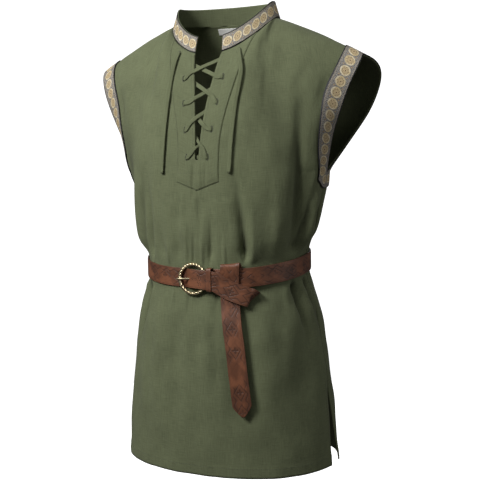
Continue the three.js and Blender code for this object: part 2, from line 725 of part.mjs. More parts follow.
// Stations eased through control rows of middle, across and width.
function easedStations(rows, steps) {
  const middles = new THREE.CatmullRomCurve3(rows.map((row) => row.middle), false, 'centripetal');
  const acrosses = new THREE.CatmullRomCurve3(rows.map((row) => row.across), false, 'catmullrom', 0.5);
  const count = (rows.length - 1) * steps;
  return Array.from({ length: count + 1 }, (_, k) => {
    const t = k / count;
    const low = Math.min(Math.floor(t * (rows.length - 1)), rows.length - 2);
    const width = lerp(rows[low].width, rows[low + 1].width, t * (rows.length - 1) - low);
    return { middle: middles.getPoint(t), across: acrosses.getPoint(t).normalize(), width };
  });
}

// Lacing

const LACE_IN = -(WALL + SEAM_GAP + LACE_THICK / 2 + 0.6);
const LACE_OUT = FACING_LIFT + SEAM_GAP + LACE_THICK / 2 + 0.5;

// One half of the tie: it starts behind a hole of the bottom row, and at each row comes out of its hole,
// crosses the slit upwards and passes behind the far edge to the next hole.
function laceStrand(startSide, over) {
  const rows = [];
  const add = (x, height, lift, lean = 0, width = LACE_WIDTH) => {
    const { turn, level } = chestSpot(x, height);
    const { outer, normal } = corner(turn, level, lift);
    const across = new THREE.Vector3(lean, 0, 1).projectOnPlane(normal).normalize();
    rows.push({ middle: outer, across, width });
  };
  const bend = (LACE_OUT - LACE_IN) / 2;
  const middle = (LACE_OUT + LACE_IN) / 2;
  const comeOut = (side, { half, height }, last) => {
    for (const angle of last ? [-90, -35, 33] : [-90, -35, 35, 90]) {
      const out = bend * Math.cos(radians(angle));
      add(side * (half + out), height, middle + bend * Math.sin(radians(angle)));
    }
  };
  let side = startSide;
  add(side * (LACE_HOLES[0].half - 5), LACE_HOLES[0].height, LACE_IN);
  for (let k = 0; k < LACE_HOLES.length - 1; k += 1) {
    const from = LACE_HOLES[k];
    const to = LACE_HOLES[k + 1];
    comeOut(side, from, false);
    const x0 = side * from.half;
    const x1 = -side * to.half;
    const slope = (to.height - from.height) / (x1 - x0);
    const heightAt = (x) => lerp(from.height, to.height, (x - x0) / (x1 - x0)) + over * LACE_APART + (k === 0 ? 3.2 : 0);
    const gapLevel = chestSpot(0, heightAt(0)).level;
    const gap = slitTurn(gapLevel) * chestMmPerDegree(gapLevel);
    const halfway = side * lerp(from.half, gap, 0.5);
    const going = side * (gap - 1.3);
    const coming = side * (1.9 - gap);
    add(halfway, heightAt(halfway), LACE_OUT, -slope);
    const squeezed = k === 0 ? LACE_SQUEEZED : LACE_WIDTH;
    add(going, heightAt(going), LACE_OUT, -slope, squeezed);
    add(0, heightAt(0), over > 0 ? 0.5 : -0.9, -slope, squeezed);
    add(coming, heightAt(coming), LACE_IN, -slope, squeezed);
    const landing = -side * lerp(gap, to.half, 0.6);
    add(landing, heightAt(landing), LACE_IN, -slope);
    side = -side;
  }
  comeOut(side, LACE_HOLES[LACE_HOLES.length - 1], true);
  return strapGeometry(easedStations(rows, 2), LACE_THICK);
}

function laceBar() {
  const half = LACE_HOLES[0].half - 5 - SEAM_GAP;
  const height = LACE_HOLES[0].height;
  const rows = spread(-half, half, 4).map((x) => ({
    middle: chestPoint(x, height, LACE_IN), across: new THREE.Vector3(0, 0, 1), width: LACE_WIDTH,
  }));
  return strapGeometry(rows, LACE_THICK);
}

// Cutters for the lace holes: upright slots just outside each hole's place in the table.
function laceHoleCutters() {
  const cutters = [];
  for (const { half, height } of LACE_HOLES) {
    for (const side of [-1, 1]) {
      const { turn, level } = chestSpot(side * (half + LACE_HOLE_WIDE / 2), height);
      const { outer, normal } = corner(turn, level);
      const across = new THREE.Vector3(0, 0, 1).cross(normal).normalize();
      const up = normal.clone().cross(across);
      const cutter = new THREE.BoxGeometry(LACE_HOLE_WIDE, LACE_HOLE_TALL, 12);
      cutter.applyMatrix4(new THREE.Matrix4().makeBasis(across, up, normal).setPosition(outer));
      cutters.push(cutter);
    }
  }
  return cutters;
}

// Free ends of the tie, as points by eye: distance from the middle, height, and distance off the cloth.
const LACE_END_RIGHT = [
  { x: -62, height: -62, lift: 4 },
  { x: -64, height: -82, lift: 5.2 },
  { x: -65, height: -104, lift: 4.6 },
  { x: -66, height: -135, lift: 4.2 },
  { x: -68, height: -170, lift: 3.9 },
  { x: -70, height: -205, lift: 3.7 },
  { x: -72, height: -240, lift: 3.6 },
  { x: -74, height: -275, lift: 3.6 },
  { x: -75, height: -306, lift: 3.6 },
];
const LACE_END_LEFT = [
  { x: 63, height: -62, lift: 4 },
  { x: 73, height: -84, lift: 6.2 },
  { x: 78, height: -104, lift: 5.6 },
  { x: 76, height: -130, lift: 4.6 },
  { x: 72, height: -160, lift: 4.1 },
  { x: 69, height: -195, lift: 3.8 },
  { x: 66, height: -235, lift: 3.7 },
  { x: 64, height: -275, lift: 3.6 },
  { x: 63, height: -306, lift: 3.6 },
];

// A free end as an eight-sided flattened tube.
function laceEnd(route) {
  const curve = new THREE.CatmullRomCurve3(route.map((row) => chestPoint(row.x, row.height, row.lift)));
  const sides = 8;
  const steps = 16;
  const vertices = [];
  const triangles = [];
  for (let k = 0; k <= steps; k += 1) {
    const middle = curve.getPointAt(k / steps);
    const along = curve.getTangentAt(k / steps);
    const near = chestSpot(middle.x, middle.z);
    const out = clothNormal(near.turn, near.level).projectOnPlane(along).normalize();
    const across = along.clone().cross(out);
    for (let e = 0; e < sides; e += 1) {
      const angle = 2 * Math.PI * (e + 0.5) / sides;
      const at = middle.clone().addScaledVector(across, Math.cos(angle) * LACE_END_WIDTH / 2)
        .addScaledVector(out, Math.sin(angle) * LACE_END_THICK / 2);
      vertices.push(...at.toArray());
    }
  }
  for (let k = 0; k < steps; k += 1) {
    for (let e = 0; e < sides; e += 1) {
      const a = sides * k + e;
      const b = sides * k + (e + 1) % sides;
      triangles.push(a, b, b + sides, a, b + sides, a + sides);
    }
  }
  for (let e = 1; e < sides - 1; e += 1) {
    triangles.push(0, e + 1, e, sides * steps, sides * steps + e, sides * steps + e + 1);
  }
  const geometry = new THREE.BufferGeometry();
  geometry.setAttribute('position', new THREE.Float32BufferAttribute(vertices, 3));
  geometry.setIndex(triangles);
  return facingOut(geometry);
}

// Belt

// A point off the body near the waist: turn, distance above the belt's middle line and distance out.
function waistFrame(turn, up, lift) {
  const height = BELT_HEIGHT + up;
  const out = outward(turn, height);
  const along = new THREE.Vector3(-out.y, out.x, 0);
  return { middle: ringPoint(turn, height).addScaledVector(out, lift), out, along };
}

// Control rows of a strap from a table: across is the angle of its width from upright, in degrees
// towards the wearer's left.
function waistRows(table) {
  return table.map(({ turn, up, lift, across = 0, width = BELT_WIDTH }) => {
    const { middle, along, out } = waistFrame(turn, up, lift);
    const slope = ringPoint(turn, BELT_HEIGHT + up + 1).sub(ringPoint(turn, BELT_HEIGHT + up - 1)).normalize();
    const upright = slope.projectOnPlane(along).normalize();
    const direction = along.clone().multiplyScalar(Math.sin(radians(across)))
      .addScaledVector(upright, Math.cos(radians(across)));
    return { middle, across: direction, out, width };
  });
}

// How far the strap's middle stands off the cloth on its way round the waist: over the keeper's back
// bar, then over the knot's hidden layer.
const WAIST_LIFTS = [
  { turn: 7, lift: 2.4 },
  { turn: 8.2, lift: 2.9 },
  { turn: 9.3, lift: 4 },
  { turn: 13.5, lift: 4.1 },
  { turn: 16, lift: 5.2 },
  { turn: 19, lift: 6.5 },
  { turn: 24.5, lift: 6.5 },
  { turn: 30, lift: 6.5 },
  { turn: 36, lift: 6.5 },
  { turn: 42, lift: 6.5 },
  { turn: 46, lift: 5.6 },
  { turn: 51, lift: 3.6 },
  { turn: 56, lift: BELT_LIFT },
];

// The end that comes up through the ring, over its far rim, through the keeper, slants down and folds
// back behind itself.
const RUN_UP = [
  { turn: 345.2, up: 0, lift: 2.1 },
  { turn: 348.2, up: 0, lift: 2.1 },
  { turn: 350.7, up: 0, lift: 3.1 },
  { turn: 353.2, up: 0, lift: 6.2 },
  { turn: 355.8, up: 0, lift: 9.4 },
  { turn: 358.7, up: 0, lift: 11.8 },
  { turn: 361.7, up: -0.5, lift: 13.3 },
  { turn: 365, up: -1, lift: 14.2 },
  { turn: 368.5, up: -1.8, lift: 14.7 },
  { turn: 371.5, up: -2.4, lift: 14.7, across: 1 },
  { turn: 374.5, up: -4, lift: 14.6, across: 7 },
  { turn: 379, up: -10, lift: 14, across: 20 },
  { turn: 384, up: -18, lift: 14, across: 22 },
  { turn: 391, up: -27, lift: 14.2, across: 25 },
  { turn: 396.5, up: -33.5, lift: 13.3, across: 36 },
  { turn: 399.4, up: -37, lift: 11.4, across: 47 },
  { turn: 400.4, up: -38.5, lift: 7.8, across: 53 },
  { turn: 399.4, up: -37, lift: 4.8, across: 56 },
  { turn: 397.8, up: -34, lift: 3.9, across: 59 },
];

function beltStrap() {
  const round = spread(56, RUN_UP[0].turn, 52).slice(1, -1).map((turn) => ({ turn, lift: BELT_LIFT }));
  const waist = waistRows([...WAIST_LIFTS, ...round].map((row) => ({ ...row, up: 0 })));
  return [...waist, ...easedStations(waistRows(RUN_UP), 2)];
}

// The stretch that goes up behind the strap, over it and down in front.
const KNOT = [
  { turn: 34.4, up: -22, lift: 2.3, across: 64 },
  { turn: 33, up: -14, lift: 2.2, across: 65 },
  { turn: 30, up: 2, lift: 2.2, across: 68 },
  { turn: 27.5, up: 16.5, lift: 2.3, across: 74 },
  { turn: 26.6, up: 23.3, lift: 4.1, across: 80 },
  { turn: 26.3, up: 25.4, lift: 7.1, across: 84 },
  { turn: 26.1, up: 23.2, lift: 10.2, across: 86 },
  { turn: 25.8, up: 13, lift: 10.9, across: 88 },
  { turn: 25.6, up: 0, lift: 9.7, across: 90 },
  { turn: 25.4, up: -13.5, lift: 9.4, across: 90 },
];

// The hanging tail, from under the front run to its point.
const TAIL = [
  { turn: 25.4, up: -16, lift: 9.2, across: 90 },
  { turn: 25.6, up: -30, lift: 8.2, across: 90 },
  { turn: 26, up: -50, lift: 7.8, across: 91 },
  { turn: 27, up: -90, lift: 10.5, across: 92 },
  { turn: 28.6, up: -130, lift: 11.5, across: 93 },
  { turn: 30.2, up: -185, lift: 11, across: 93 },
  { turn: 31.8, up: -235, lift: 9.5, across: 93 },
  { turn: 32.7, up: -262, lift: 8.6, across: 93 },
];
const TAIL_POINT = 0.09;

// The buckle

// Basis at the ring's middle: across to the wearer's left, up and out.
function ringBasis() {
  const { middle, along, out } = waistFrame(RING_TURN, -1, RING_LIFT);
  return new THREE.Matrix4().makeBasis(along, out.clone().cross(along), out).setPosition(middle);
}

function ropeRing() {
  const ring = new THREE.TorusGeometry(RING_RADIUS, ROPE_RADIUS, 6, 72);
  const at = ring.attributes.position;
  for (let k = 0; k < at.count; k += 1) {
    const big = Math.atan2(at.getY(k), at.getX(k));
    const flat = Math.hypot(at.getX(k), at.getY(k)) - RING_RADIUS;
    const small = Math.atan2(at.getZ(k), flat);
    const radius = ROPE_RADIUS * (1 + ROPE_RELIEF * Math.cos(ROPE_STRANDS * small + ROPE_STRANDS * ROPE_TWISTS * big));
    const reach = RING_RADIUS + radius * Math.cos(small);
    at.setXYZ(k, reach * Math.cos(big), reach * Math.sin(big), radius * Math.sin(small));
  }
  ring.applyMatrix4(ringBasis());
  return ring;
}

// A round bar through points given in the ring's own basis.
function roundBar(points, radius) {
  const shape = new THREE.Shape();
  shape.absarc(0, 0, radius, 0, 2 * Math.PI, false);
  const extrudePath = new THREE.CatmullRomCurve3(points.map(({ along, out }) => new THREE.Vector3(along, 0, out)));
  const bar = new THREE.ExtrudeGeometry(shape, { steps: 14, curveSegments: 4, bevelEnabled: false, extrudePath });
  bar.applyMatrix4(ringBasis());
  return bar;
}

// The prong's middle line: along from the ring's middle, and out from the ring's plane.
const PRONG_ROUTE = [
  { along: 22.6, out: 0.4 },
  { along: 10, out: 0.3 },
  { along: 2, out: -0.5 },
  { along: -3, out: -0.1 },
  { along: -8, out: 1.2 },
  { along: -13, out: 3.2 },
  { along: -20, out: 5.9 },
  { along: -27, out: 6.4 },
  { along: -31.5, out: 5.6 },
];

// Slot in the strap that the prong passes through.
function prongSlot() {
  const slot = new THREE.BoxGeometry(13, 2 * PRONG_RADIUS + 1.4, 11);
  slot.translate(-6, 0, 1);
  slot.applyMatrix4(ringBasis());
  return slot;
}

function keeperLoop() {
  const halfTall = KEEPER_TALL / 2;
  const low = 2.3;
  const high = 16.4;
  const frame = (grow) => [
    [-halfTall - grow, low - grow], [halfTall + grow, low - grow],
    [halfTall + grow, high + grow], [-halfTall - grow, high + grow],
  ].map(([x, y]) => new THREE.Vector2(x, y));
  const shape = new THREE.Shape(frame(KEEPER_THICK));
  shape.holes.push(new THREE.Path(frame(0)));
  const loop = new THREE.ExtrudeGeometry(shape, { depth: KEEPER_LONG, bevelEnabled: false });
  loop.translate(0, 0, -KEEPER_LONG / 2);
  const { middle, along, out } = waistFrame(KEEPER_TURN, -KEEPER_DROP, 0);
  loop.applyMatrix4(new THREE.Matrix4().makeBasis(out.clone().cross(along), out, along.clone().negate()).setPosition(middle));
  return facingOut(mergeVertices(bareOf(loop), 1e-4));
}

function bareOf(geometry) {
  const bare = geometry.clone();
  bare.deleteAttribute('normal');
  bare.deleteAttribute('uv');
  return bare;
}

const holes = laceHoleCutters();
addPiece('front_panel', cutBy(wallGeometry(frontPanel(), WALL), holes), CLOTH);
addPiece('back_panel', wallGeometry(backPanel(), WALL), CLOTH);
addPiece('collar_band', wallGeometry(collarStrip(SEAM_GAP, COLLAR_HEIGHT, 0), WALL), CLOTH);
const collarTrim = collarStrip(SEAM_GAP + COLLAR_TRIM_INSET, COLLAR_HEIGHT - COLLAR_TRIM_INSET, SEAM_GAP + TRIM_WALL);
addPiece('collar_trim', wallGeometry(collarTrim, TRIM_WALL), TRIM);
addPiece('placket_facing', cutBy(wallGeometry(facingPanel(), FACING_WALL), holes), CLOTH);
addPiece('armhole_trim_left', wallGeometry(armholeTrim(1), TRIM_WALL), TRIM);
addPiece('armhole_trim_right', wallGeometry(armholeTrim(-1), TRIM_WALL), TRIM);
addPiece('neck_label', wallGeometry(labelPatch(), LABEL_WALL), LABEL);
addPiece('lace_strand_over', laceStrand(1, 1), CLOTH);
addPiece('lace_strand_under', laceStrand(-1, -1), CLOTH);
addPiece('lace_bar', laceBar(), CLOTH);
addPiece('lace_end_right', laceEnd(LACE_END_RIGHT), CLOTH);
addPiece('lace_end_left', laceEnd(LACE_END_LEFT), CLOTH);
addPiece('belt_strap', cutBy(strapGeometry(beltStrap(), BELT_THICK), [prongSlot()]), LEATHER);
addPiece('belt_knot', strapGeometry(easedStations(waistRows(KNOT), 3), BELT_THICK), LEATHER);
const pointed = (t) => Math.min(1, 0.12 + (1 - t) / TAIL_POINT);
addPiece('belt_tail', strapGeometry(easedStations(waistRows(TAIL), 4), BELT_THICK, pointed), LEATHER);
addPiece('buckle_ring', facingOut(mergeVertices(bareOf(ropeRing()), 1e-4)), BRASS);
addPiece('buckle_prong', facingOut(mergeVertices(bareOf(roundBar(PRONG_ROUTE, PRONG_RADIUS)), 1e-4)), BRASS);
addPiece('belt_keeper', keeperLoop(), LEATHER);

export default garment;
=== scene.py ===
import bmesh
import bpy
import numpy as np
from bpy.props import FloatProperty, FloatVectorProperty, PointerProperty
from mathutils import Matrix


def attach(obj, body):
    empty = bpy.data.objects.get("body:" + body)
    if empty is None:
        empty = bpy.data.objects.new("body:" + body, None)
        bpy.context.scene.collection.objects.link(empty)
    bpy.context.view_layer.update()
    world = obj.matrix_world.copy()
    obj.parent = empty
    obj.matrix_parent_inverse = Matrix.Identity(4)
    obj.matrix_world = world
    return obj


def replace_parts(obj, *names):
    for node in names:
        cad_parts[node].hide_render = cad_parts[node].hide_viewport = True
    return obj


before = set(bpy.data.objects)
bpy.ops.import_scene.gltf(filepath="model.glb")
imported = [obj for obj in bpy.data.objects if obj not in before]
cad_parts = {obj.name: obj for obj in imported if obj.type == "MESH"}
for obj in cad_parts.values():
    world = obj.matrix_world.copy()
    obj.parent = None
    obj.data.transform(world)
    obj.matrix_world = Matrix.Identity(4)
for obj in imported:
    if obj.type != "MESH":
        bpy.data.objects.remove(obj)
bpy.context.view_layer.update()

bl_info = {
    "name": "Laced tunic with trims and belt",
    "version": (1, 0, 0),
    "blender": (4, 5, 0),
    "location": "3D View > Sidebar > Tunic",
    "description": "Cloth, woven trims, lacing, leather belt and buckle of a sleeveless tunic",
    "category": "Object",
}

# Millimetres in the shape functions and metres in the meshes. The front faces -Y, +X is the wearer's
# left and the origin is the middle of the neck, level with the highest point of the shoulders.
MM = 0.001


def table(columns, *rows):
    """Rows of numbers under named columns."""
    return [dict(zip(columns.split(), row)) for row in rows]


# The tunic's own sizes, as in the solids
WALL = 1.5
SEAM_GAP = 0.3
TRIM_WALL = 1.0
FACING_WALL = 0.9
LABEL_WALL = 0.5
LABEL_LEVELS = (0.912, 0.974)
LABEL_TURN = 188
LABEL_HALF_TURN = 6.4
NECK_HALF = 108
NECK_FRONT = 80
NECK_FRONT_DROP = 68
NECK_BACK = 69
NECK_BACK_DROP = -4
NECK_DIP = 1.6
NECK_TURN = 48
SHOULDER_HALF = 273
SHOULDER_DROP = 78
ARMPIT_HEIGHT = -286
EDGE_TURN = 58
CHEST_RISE = 230
NAPE = {"start": 8, "full": 44, "fades": 50, "end": 80}
HEM_HEIGHT = -838
SIDE_SLIT = 150
SIDE_SLIT_SPREAD = 18
COLLAR_HEIGHT = 34
COLLAR_LEAN = 0.3
COLLAR_TRIM_INSET = 0.6
COLLAR_UNDER = -1.2
COLLAR_ROWS = 16
COLLAR_DISC_SHARE = 0.98
SLIT_TOP_HALF = 28
SLIT_BOTTOM_HALF = 3.8
SLIT_BOTTOM_LEVEL = 0.1
SLIT_CURVE = 1.6
FACING_CORNER_HEIGHT = -302
FACING_POINT_HEIGHT = -318
FACING_TOP_LEVEL = 0.985
FACING_LIFT = SEAM_GAP + 0.15 + FACING_WALL
TRIM_WIDTH = 35
TRIM_BELOW = 32
TRIM_LIFT = SEAM_GAP + TRIM_WALL
LACE_THICK = 1.6
LACE_APART = 4.7
LACE_END_THICK = 3
LACE_START_INSET = 5
LACE_FIRST_RAISED = 3.2
LACE_BEFORE_EDGE = 1.3
LACE_BEHIND_EDGE = 1.9
LACE_SQUEEZE = 0.72
CROSSING_LIFT = {1: 0.5, -1: -0.9}
BELT_HEIGHT = -458
BELT_WIDTH = 35
BELT_THICK = 2.6
BELT_LIFT = 2.6
RING_TURN = -3.4
RING_RADIUS = 27
RING_LIFT = 6.6
ROPE_STRANDS = 3
STRAND_RADIUS = 1.85
STRAND_OFFSET = 1.6
ROPE_TWISTS = 8
PRONG_RADIUS = 1.9
KEEPER_TURN = 11.4
KEEPER_LONG = 9
KEEPER_TALL = 40.4
KEEPER_DROP = 1.6
KEEPER_THICK = 1.3
KEEPER_INSIDE = (2.3, 16.4)
SQUARENESS = 2.2
FOLD_MM_PER_DEGREE = 2.6
BELT_CLEAR = (21, 46)
CREASE_CLEAR = (18, 34)
WAVE_CLEAR = (18, 60)

# The back panel's first turn, just past the side seam
BACK_EDGE = 90.001

# Marks of the sewing on the cloth: the turned hem's top and how proud it stands, how far a seam sinks
# and spreads, and the puckers under the neck seam
HEM_TOP = (19, 22)
HEM_PROUD = 0.5
SEAM_SUNK = 0.8
SEAM_SPREAD = 2.5
COLUMN_TALL = 300
PUCKER = {"waves": 37, "beat": 11, "depth": 0.8, "fades": 9, "from_turn": 27, "past_neck": 4}

# Where the facing keeps the front's waves away, in degrees of turn, and how far below its point
FACING_QUIET = (24, 36)
FACING_QUIET_BELOW = 12
FOOT_ROWS = 16

# The facing's turned edge: how proud its roll stands, where and how wide it is, and how far the edge
# itself drops over its last millimetres
EDGE_ROLL = {"proud": 0.5, "at": 2.4, "wide": 1.6, "drop": 1.0, "edge": 2.0}

# Lace holes: how far their middles lie outside the tie's turn, the half size that is cut, and the
# worked edge's half size, thickness, ripple and number of stitches
HOLE_ASIDE = 2.2
HOLE_CUT = (2.1, 5)
HOLE_EDGE = {"half_wide": 2.5, "half_tall": 5.6, "thick": 0.75, "ripple": 0.16, "stitches": 26}

# Lines of stitches: height above the hem, turn beside a side slit, and insets from edges
HEM_STITCH_UP = 18.0
SLIT_STITCH_TURN = 86.6
FACING_STITCH_IN = 3.5
SLIT_STITCH_IN = 5
SHOULDER_STITCH_IN = 7
SHOULDER_COLUMN = 320

# Pull of the cloth's columns for the front and the back: outwards, towards the panel's own side, and up
PULLS = {
    "neck": ((0, -80, 190), (0, -80, 190)),
    "ridge": ((0, -230, 20), (0, -350, 40)),
    "nape": ((0, 0, 0), (-110, 190, 20)),
    "armhole_bottom": ((30, 95, 190), (20, 250, 150)),
    "armhole_top": ((-25, -130, 60), (-150, -450, 60)),
}

SECTIONS = table(
    "height half front back tilt",
    (HEM_HEIGHT, 214, 158, 137, 0.02),
    (-740, 206, 157, 134, 0.03),
    (-640, 195, 153, 124, 0.06),
    (-550, 181, 146, 110, 0.1),
    (-500, 166, 139, 98, 0.135),
    (-479, 160, 136.5, 94.5, 0.145),
    (BELT_HEIGHT, 159.6, 136.3, 94.3, 0.145),
    (-437, 160, 136.5, 94.5, 0.145),
    (-420, 166, 137.5, 97, 0.13),
    (-400, 177, 138, 102, 0.1),
    (-340, 191, 136, 108, 0.04),
    (ARMPIT_HEIGHT, 201, 133, 112, 0),
)

FACING_OUTLINE = table(
    "height half",
    (FACING_CORNER_HEIGHT, 44),
    (-252, 45),
    (-201, 51),
    (-145, 67),
    (-95, 86),
    (-50, 104),
)

LACE_HOLES = table("half height", (19, -257), (25, -207), (32, -158), (38, -112), (60, -64))

# Large folds of the solids: depth is negative for a valley, peak is the fraction of the way down where
# it is deepest, and half is half the width.
FOLDS = table(
    "top bottom top_turn bottom_turn peak half depth",
    (-80, -452, 66, 71, 0.92, 24, -13),
    (-250, -452, 82, 80, 0.85, 20, 7),
    (-270, -450, 27, 38, 0.8, 19, -7),
    (-330, -450, 41, 45, 0.8, 16, 5),
    (-330, -450, 11, 11, 0.7, 16, -5),
    (-330, -450, -19, -17, 0.7, 18, -5),
    (-320, -450, -34, -33, 0.7, 18, -5),
    (-220, -452, -46, -49, 0.75, 20, -10),
    (-240, -452, -62, -66, 0.8, 24, 8),
    (-60, -250, -62, -58, 0.5, 22, -5),
    (-464, -640, -54, -60, 0.15, 22, -11),
    (-464, -620, 73, 78, 0.2, 20, -11),
    (-540, -790, 76, 62, 0.4, 34, -7),
    (-470, -820, 45, 47, 0.4, 34, 6),
    (-470, -800, -18, -15, 0.4, 26, -6),
    (-470, -800, -32, -34, 0.3, 22, 4),
    (-470, -780, 6, 10, 0.3, 22, 4),
    (-100, -452, 112, 106, 0.9, 24, -12),
    (-260, -452, 128, 126, 0.85, 20, -8),
    (-300, -452, 150, 147, 0.85, 20, -8),
    (-320, -452, 176, 173, 0.85, 20, -7),
    (-280, -452, 199, 202, 0.85, 22, -9),
    (-270, -452, 226, 229, 0.85, 20, -8),
    (-110, -452, 248, 253, 0.9, 24, -11),
    (-464, -700, 118, 116, 0.25, 26, -9),
    (-464, -780, 145, 141, 0.3, 26, -8),
    (-464, -740, 183, 186, 0.25, 26, -8),
    (-464, -790, 214, 218, 0.3, 26, -9),
    (-464, -680, 244, 246, 0.25, 26, -9),
)

# Sharper creases inside and between the folds, placed one by one, with like ones on the hidden sides. The
# cloth's colour takes its full painted shade where they are this many millimetres deep.
CREASE_FULL_SHADE_DEPTH = 9.0
CREASES = table(
    "top bottom top_turn bottom_turn peak half depth",
    (-100, -450, 66, 71, 0.6, 11, -7.5),
    (-190, -450, 77, 82, 0.6, 11, 7),
    (-250, -452, -51, -58, 0.8, 8, -8),
    (-150, -440, -68, -74, 0.5, 30, -6),
    (-350, -450, 87, 84, 0.6, 7, -4),
    (-320, -452, 40, 41, 0.8, 7, 5.5),
    (-265, -452, 29, 37.5, 0.8, 8, -8.5),
    (-160, -452, 88, 72, 0.75, 7, -8),
    (-260, -452, 96, 84, 0.75, 7, -7),
    (-60, -330, 50, 61, 0.5, 24, -4.5),
    (-230, -452, 55, 57, 0.7, 14, 3),
    (-365, -452, 4, 4, 0.7, 6, 2.5),
    (-370, -452, -3, -4, 0.8, 5, -3),
    (-350, -452, 11, 10, 0.7, 6, -2),
    (-350, -452, -10, -10, 0.6, 7, 2.5),
    (-390, -452, -27, -27, 0.7, 6, 3),
    (-370, -452, 21, 22, 0.7, 6, 2),
    (-290, -452, -46, -48, 0.75, 8, -5),
    (-330, -452, -55, -57, 0.7, 7, 3),
    (-360, -452, -76, -74, 0.7, 8, -4),
    (-470, -640, -54, -60, 0.15, 8, -13),
    (-470, -600, -63, -68, 0.2, 6, 4),
    (-470, -560, -47, -47, 0.2, 7, 2.5),
    (-470, -620, 71, 78, 0.15, 8, -13),
    (-470, -600, 84, 91, 0.2, 8, -11),
    (-470, -560, 64, 64, 0.3, 8, 2.5),
    (-470, -540, 30, 31, 0.3, 7, -2),
    (-470, -550, -8, -8, 0.3, 8, -2),
    (-470, -530, -22, -23, 0.3, 6, 2),
    (-470, -530, 15, 16, 0.3, 6, -1.5),
    (-560, -800, 24, 26, 0.4, 22, -3),
    (-520, -780, -44, -46, 0.5, 18, 3),
    (-95, -200, 79, 74, 0.4, 8, -3),
    (-60, -170, 70, 62, 0.5, 10, -2),
    (20, -190, 50, 48, 0.4, 20, 3.5),
    (-200, -330, 86, 78, 0.5, 10, 3),
    (-200, -330, -84, -76, 0.5, 10, 3),
    (-110, -220, -76, -72, 0.4, 9, -3),
    (-300, -420, -12, -14, 0.4, 10, 1.5),
    (-316, -400, 0, 4, 0.3, 9, -2),
    (-258, -345, -3, -4, 0.35, 7, -2.2),
    (-258, -345, 2, 3, 0.35, 6, 1.6),
    (-262, -330, 7, 8, 0.35, 6, -1.5),
    (-340, -452, 97, 96, 0.7, 8, -4),
    (-300, -452, 117, 115, 0.8, 8, 3),
    (-300, -452, 137, 136, 0.8, 8, -4),
    (-340, -452, 160, 160, 0.7, 7, 3),
    (-360, -452, 168, 169, 0.7, 6, -3),
    (-350, -452, 186, 187, 0.7, 7, 3),
    (-340, -452, 211, 212, 0.7, 7, -3),
    (-320, -452, 219, 219, 0.8, 7, 3),
    (-320, -452, 238, 240, 0.8, 8, -4),
    (-350, -452, 262, 263, 0.7, 8, -3),
    (-470, -600, 118, 117, 0.2, 9, -4),
    (-470, -570, 131, 131, 0.3, 8, 2.5),
    (-470, -580, 158, 158, 0.3, 8, -3),
    (-470, -590, 199, 199, 0.3, 8, 2.5),
    (-470, -580, 231, 231, 0.3, 8, -3),
    (-470, -600, 256, 258, 0.2, 9, -4),
    (-60, -240, 122, 128, 0.5, 12, -3),
    (-60, -240, 238, 233, 0.5, 12, -3),
    (-40, -160, 150, 158, 0.5, 14, -2),
    (-50, -170, 208, 203, 0.5, 14, -2),
)

# Slow waves of the cloth that nothing lies perfectly flat against: waves round the body, waves down
# it, phase and height
WAVES = table(
    "round down phase depth",
    (11, 3.1, 0.4, 0.55),
    (17, -4.3, 2.1, 0.4),
    (23, 5.9, 4.4, 0.3),
    (7, -8.7, 1.3, 0.35),
    (31, 7.7, 5.2, 0.2),
)

LACE_END_RIGHT = table(
    "x height lift",
    (-62, -62, 4),
    (-64, -82, 5.2),
    (-65, -104, 4.6),
    (-66, -135, 4.2),
    (-68, -170, 3.9),
    (-70, -205, 3.7),
    (-72, -240, 3.6),
    (-74, -275, 3.6),
    (-75, -306, 3.6),
)
LACE_END_LEFT = table(
    "x height lift",
    (63, -62, 4),
    (73, -84, 6.2),
    (78, -104, 5.6),
    (76, -130, 4.6),
    (72, -160, 4.1),
    (69, -195, 3.8),
    (66, -235, 3.7),
    (64, -275, 3.6),
    (63, -306, 3.6),
)

WAIST_LIFTS = table(
    "turn lift",
    (7, 2.4),
    (8.2, 2.9),
    (9.3, 4),
    (13.5, 4.1),
    (16, 5.2),
    (19, 6.5),
    (24.5, 6.5),
    (30, 6.5),
    (36, 6.5),
    (42, 6.5),
    (46, 5.6),
    (51, 3.6),
    (56, BELT_LIFT),
    (62, BELT_LIFT),
    (340, BELT_LIFT),
    (345.2, 2.1),
)

RUN_UP = table(
    "turn up lift across",
    (345.2, 0, 2.1, 0),
    (348.2, 0, 2.1, 0),
    (350.7, 0, 3.1, 0),
    (353.2, 0, 6.2, 0),
    (355.8, 0, 9.4, 0),
    (358.7, 0, 11.8, 0),
    (361.7, -0.5, 13.3, 0),
    (365, -1, 14.2, 0),
    (368.5, -1.8, 14.7, 0),
    (371.5, -2.4, 14.7, 1),
    (374.5, -4, 14.6, 7),
    (379, -10, 14, 20),
    (384, -18, 14, 22),
    (391, -27, 14.2, 25),
    (396.5, -33.5, 13.3, 36),
    (399.4, -37, 11.4, 47),
    (400.4, -38.5, 7.8, 53),
    (399.4, -37, 4.8, 56),
    (397.8, -34, 3.9, 59),
)

KNOT = table(
    "turn up lift across",
    (34.4, -22, 2.3, 64),
    (33, -14, 2.2, 65),
    (30, 2, 2.2, 68),
    (27.5, 16.5, 2.3, 74),
    (26.6, 23.3, 4.1, 80),
    (26.3, 25.4, 7.1, 84),
    (26.1, 23.2, 10.2, 86),
    (25.8, 13, 10.9, 88),
    (25.6, 0, 9.7, 90),
    (25.4, -13.5, 9.4, 90),
)

TAIL = table(
    "turn up lift across",
    (25.4, -16, 9.2, 90),
    (25.6, -30, 8.2, 90),
    (26, -50, 7.8, 91),
    (27, -90, 10.5, 92),
    (28.6, -130, 11.5, 93),
    (30.2, -185, 11, 93),
    (31.8, -235, 9.5, 93),
    (32.7, -262, 8.6, 93),
)
TAIL_POINT = 0.09

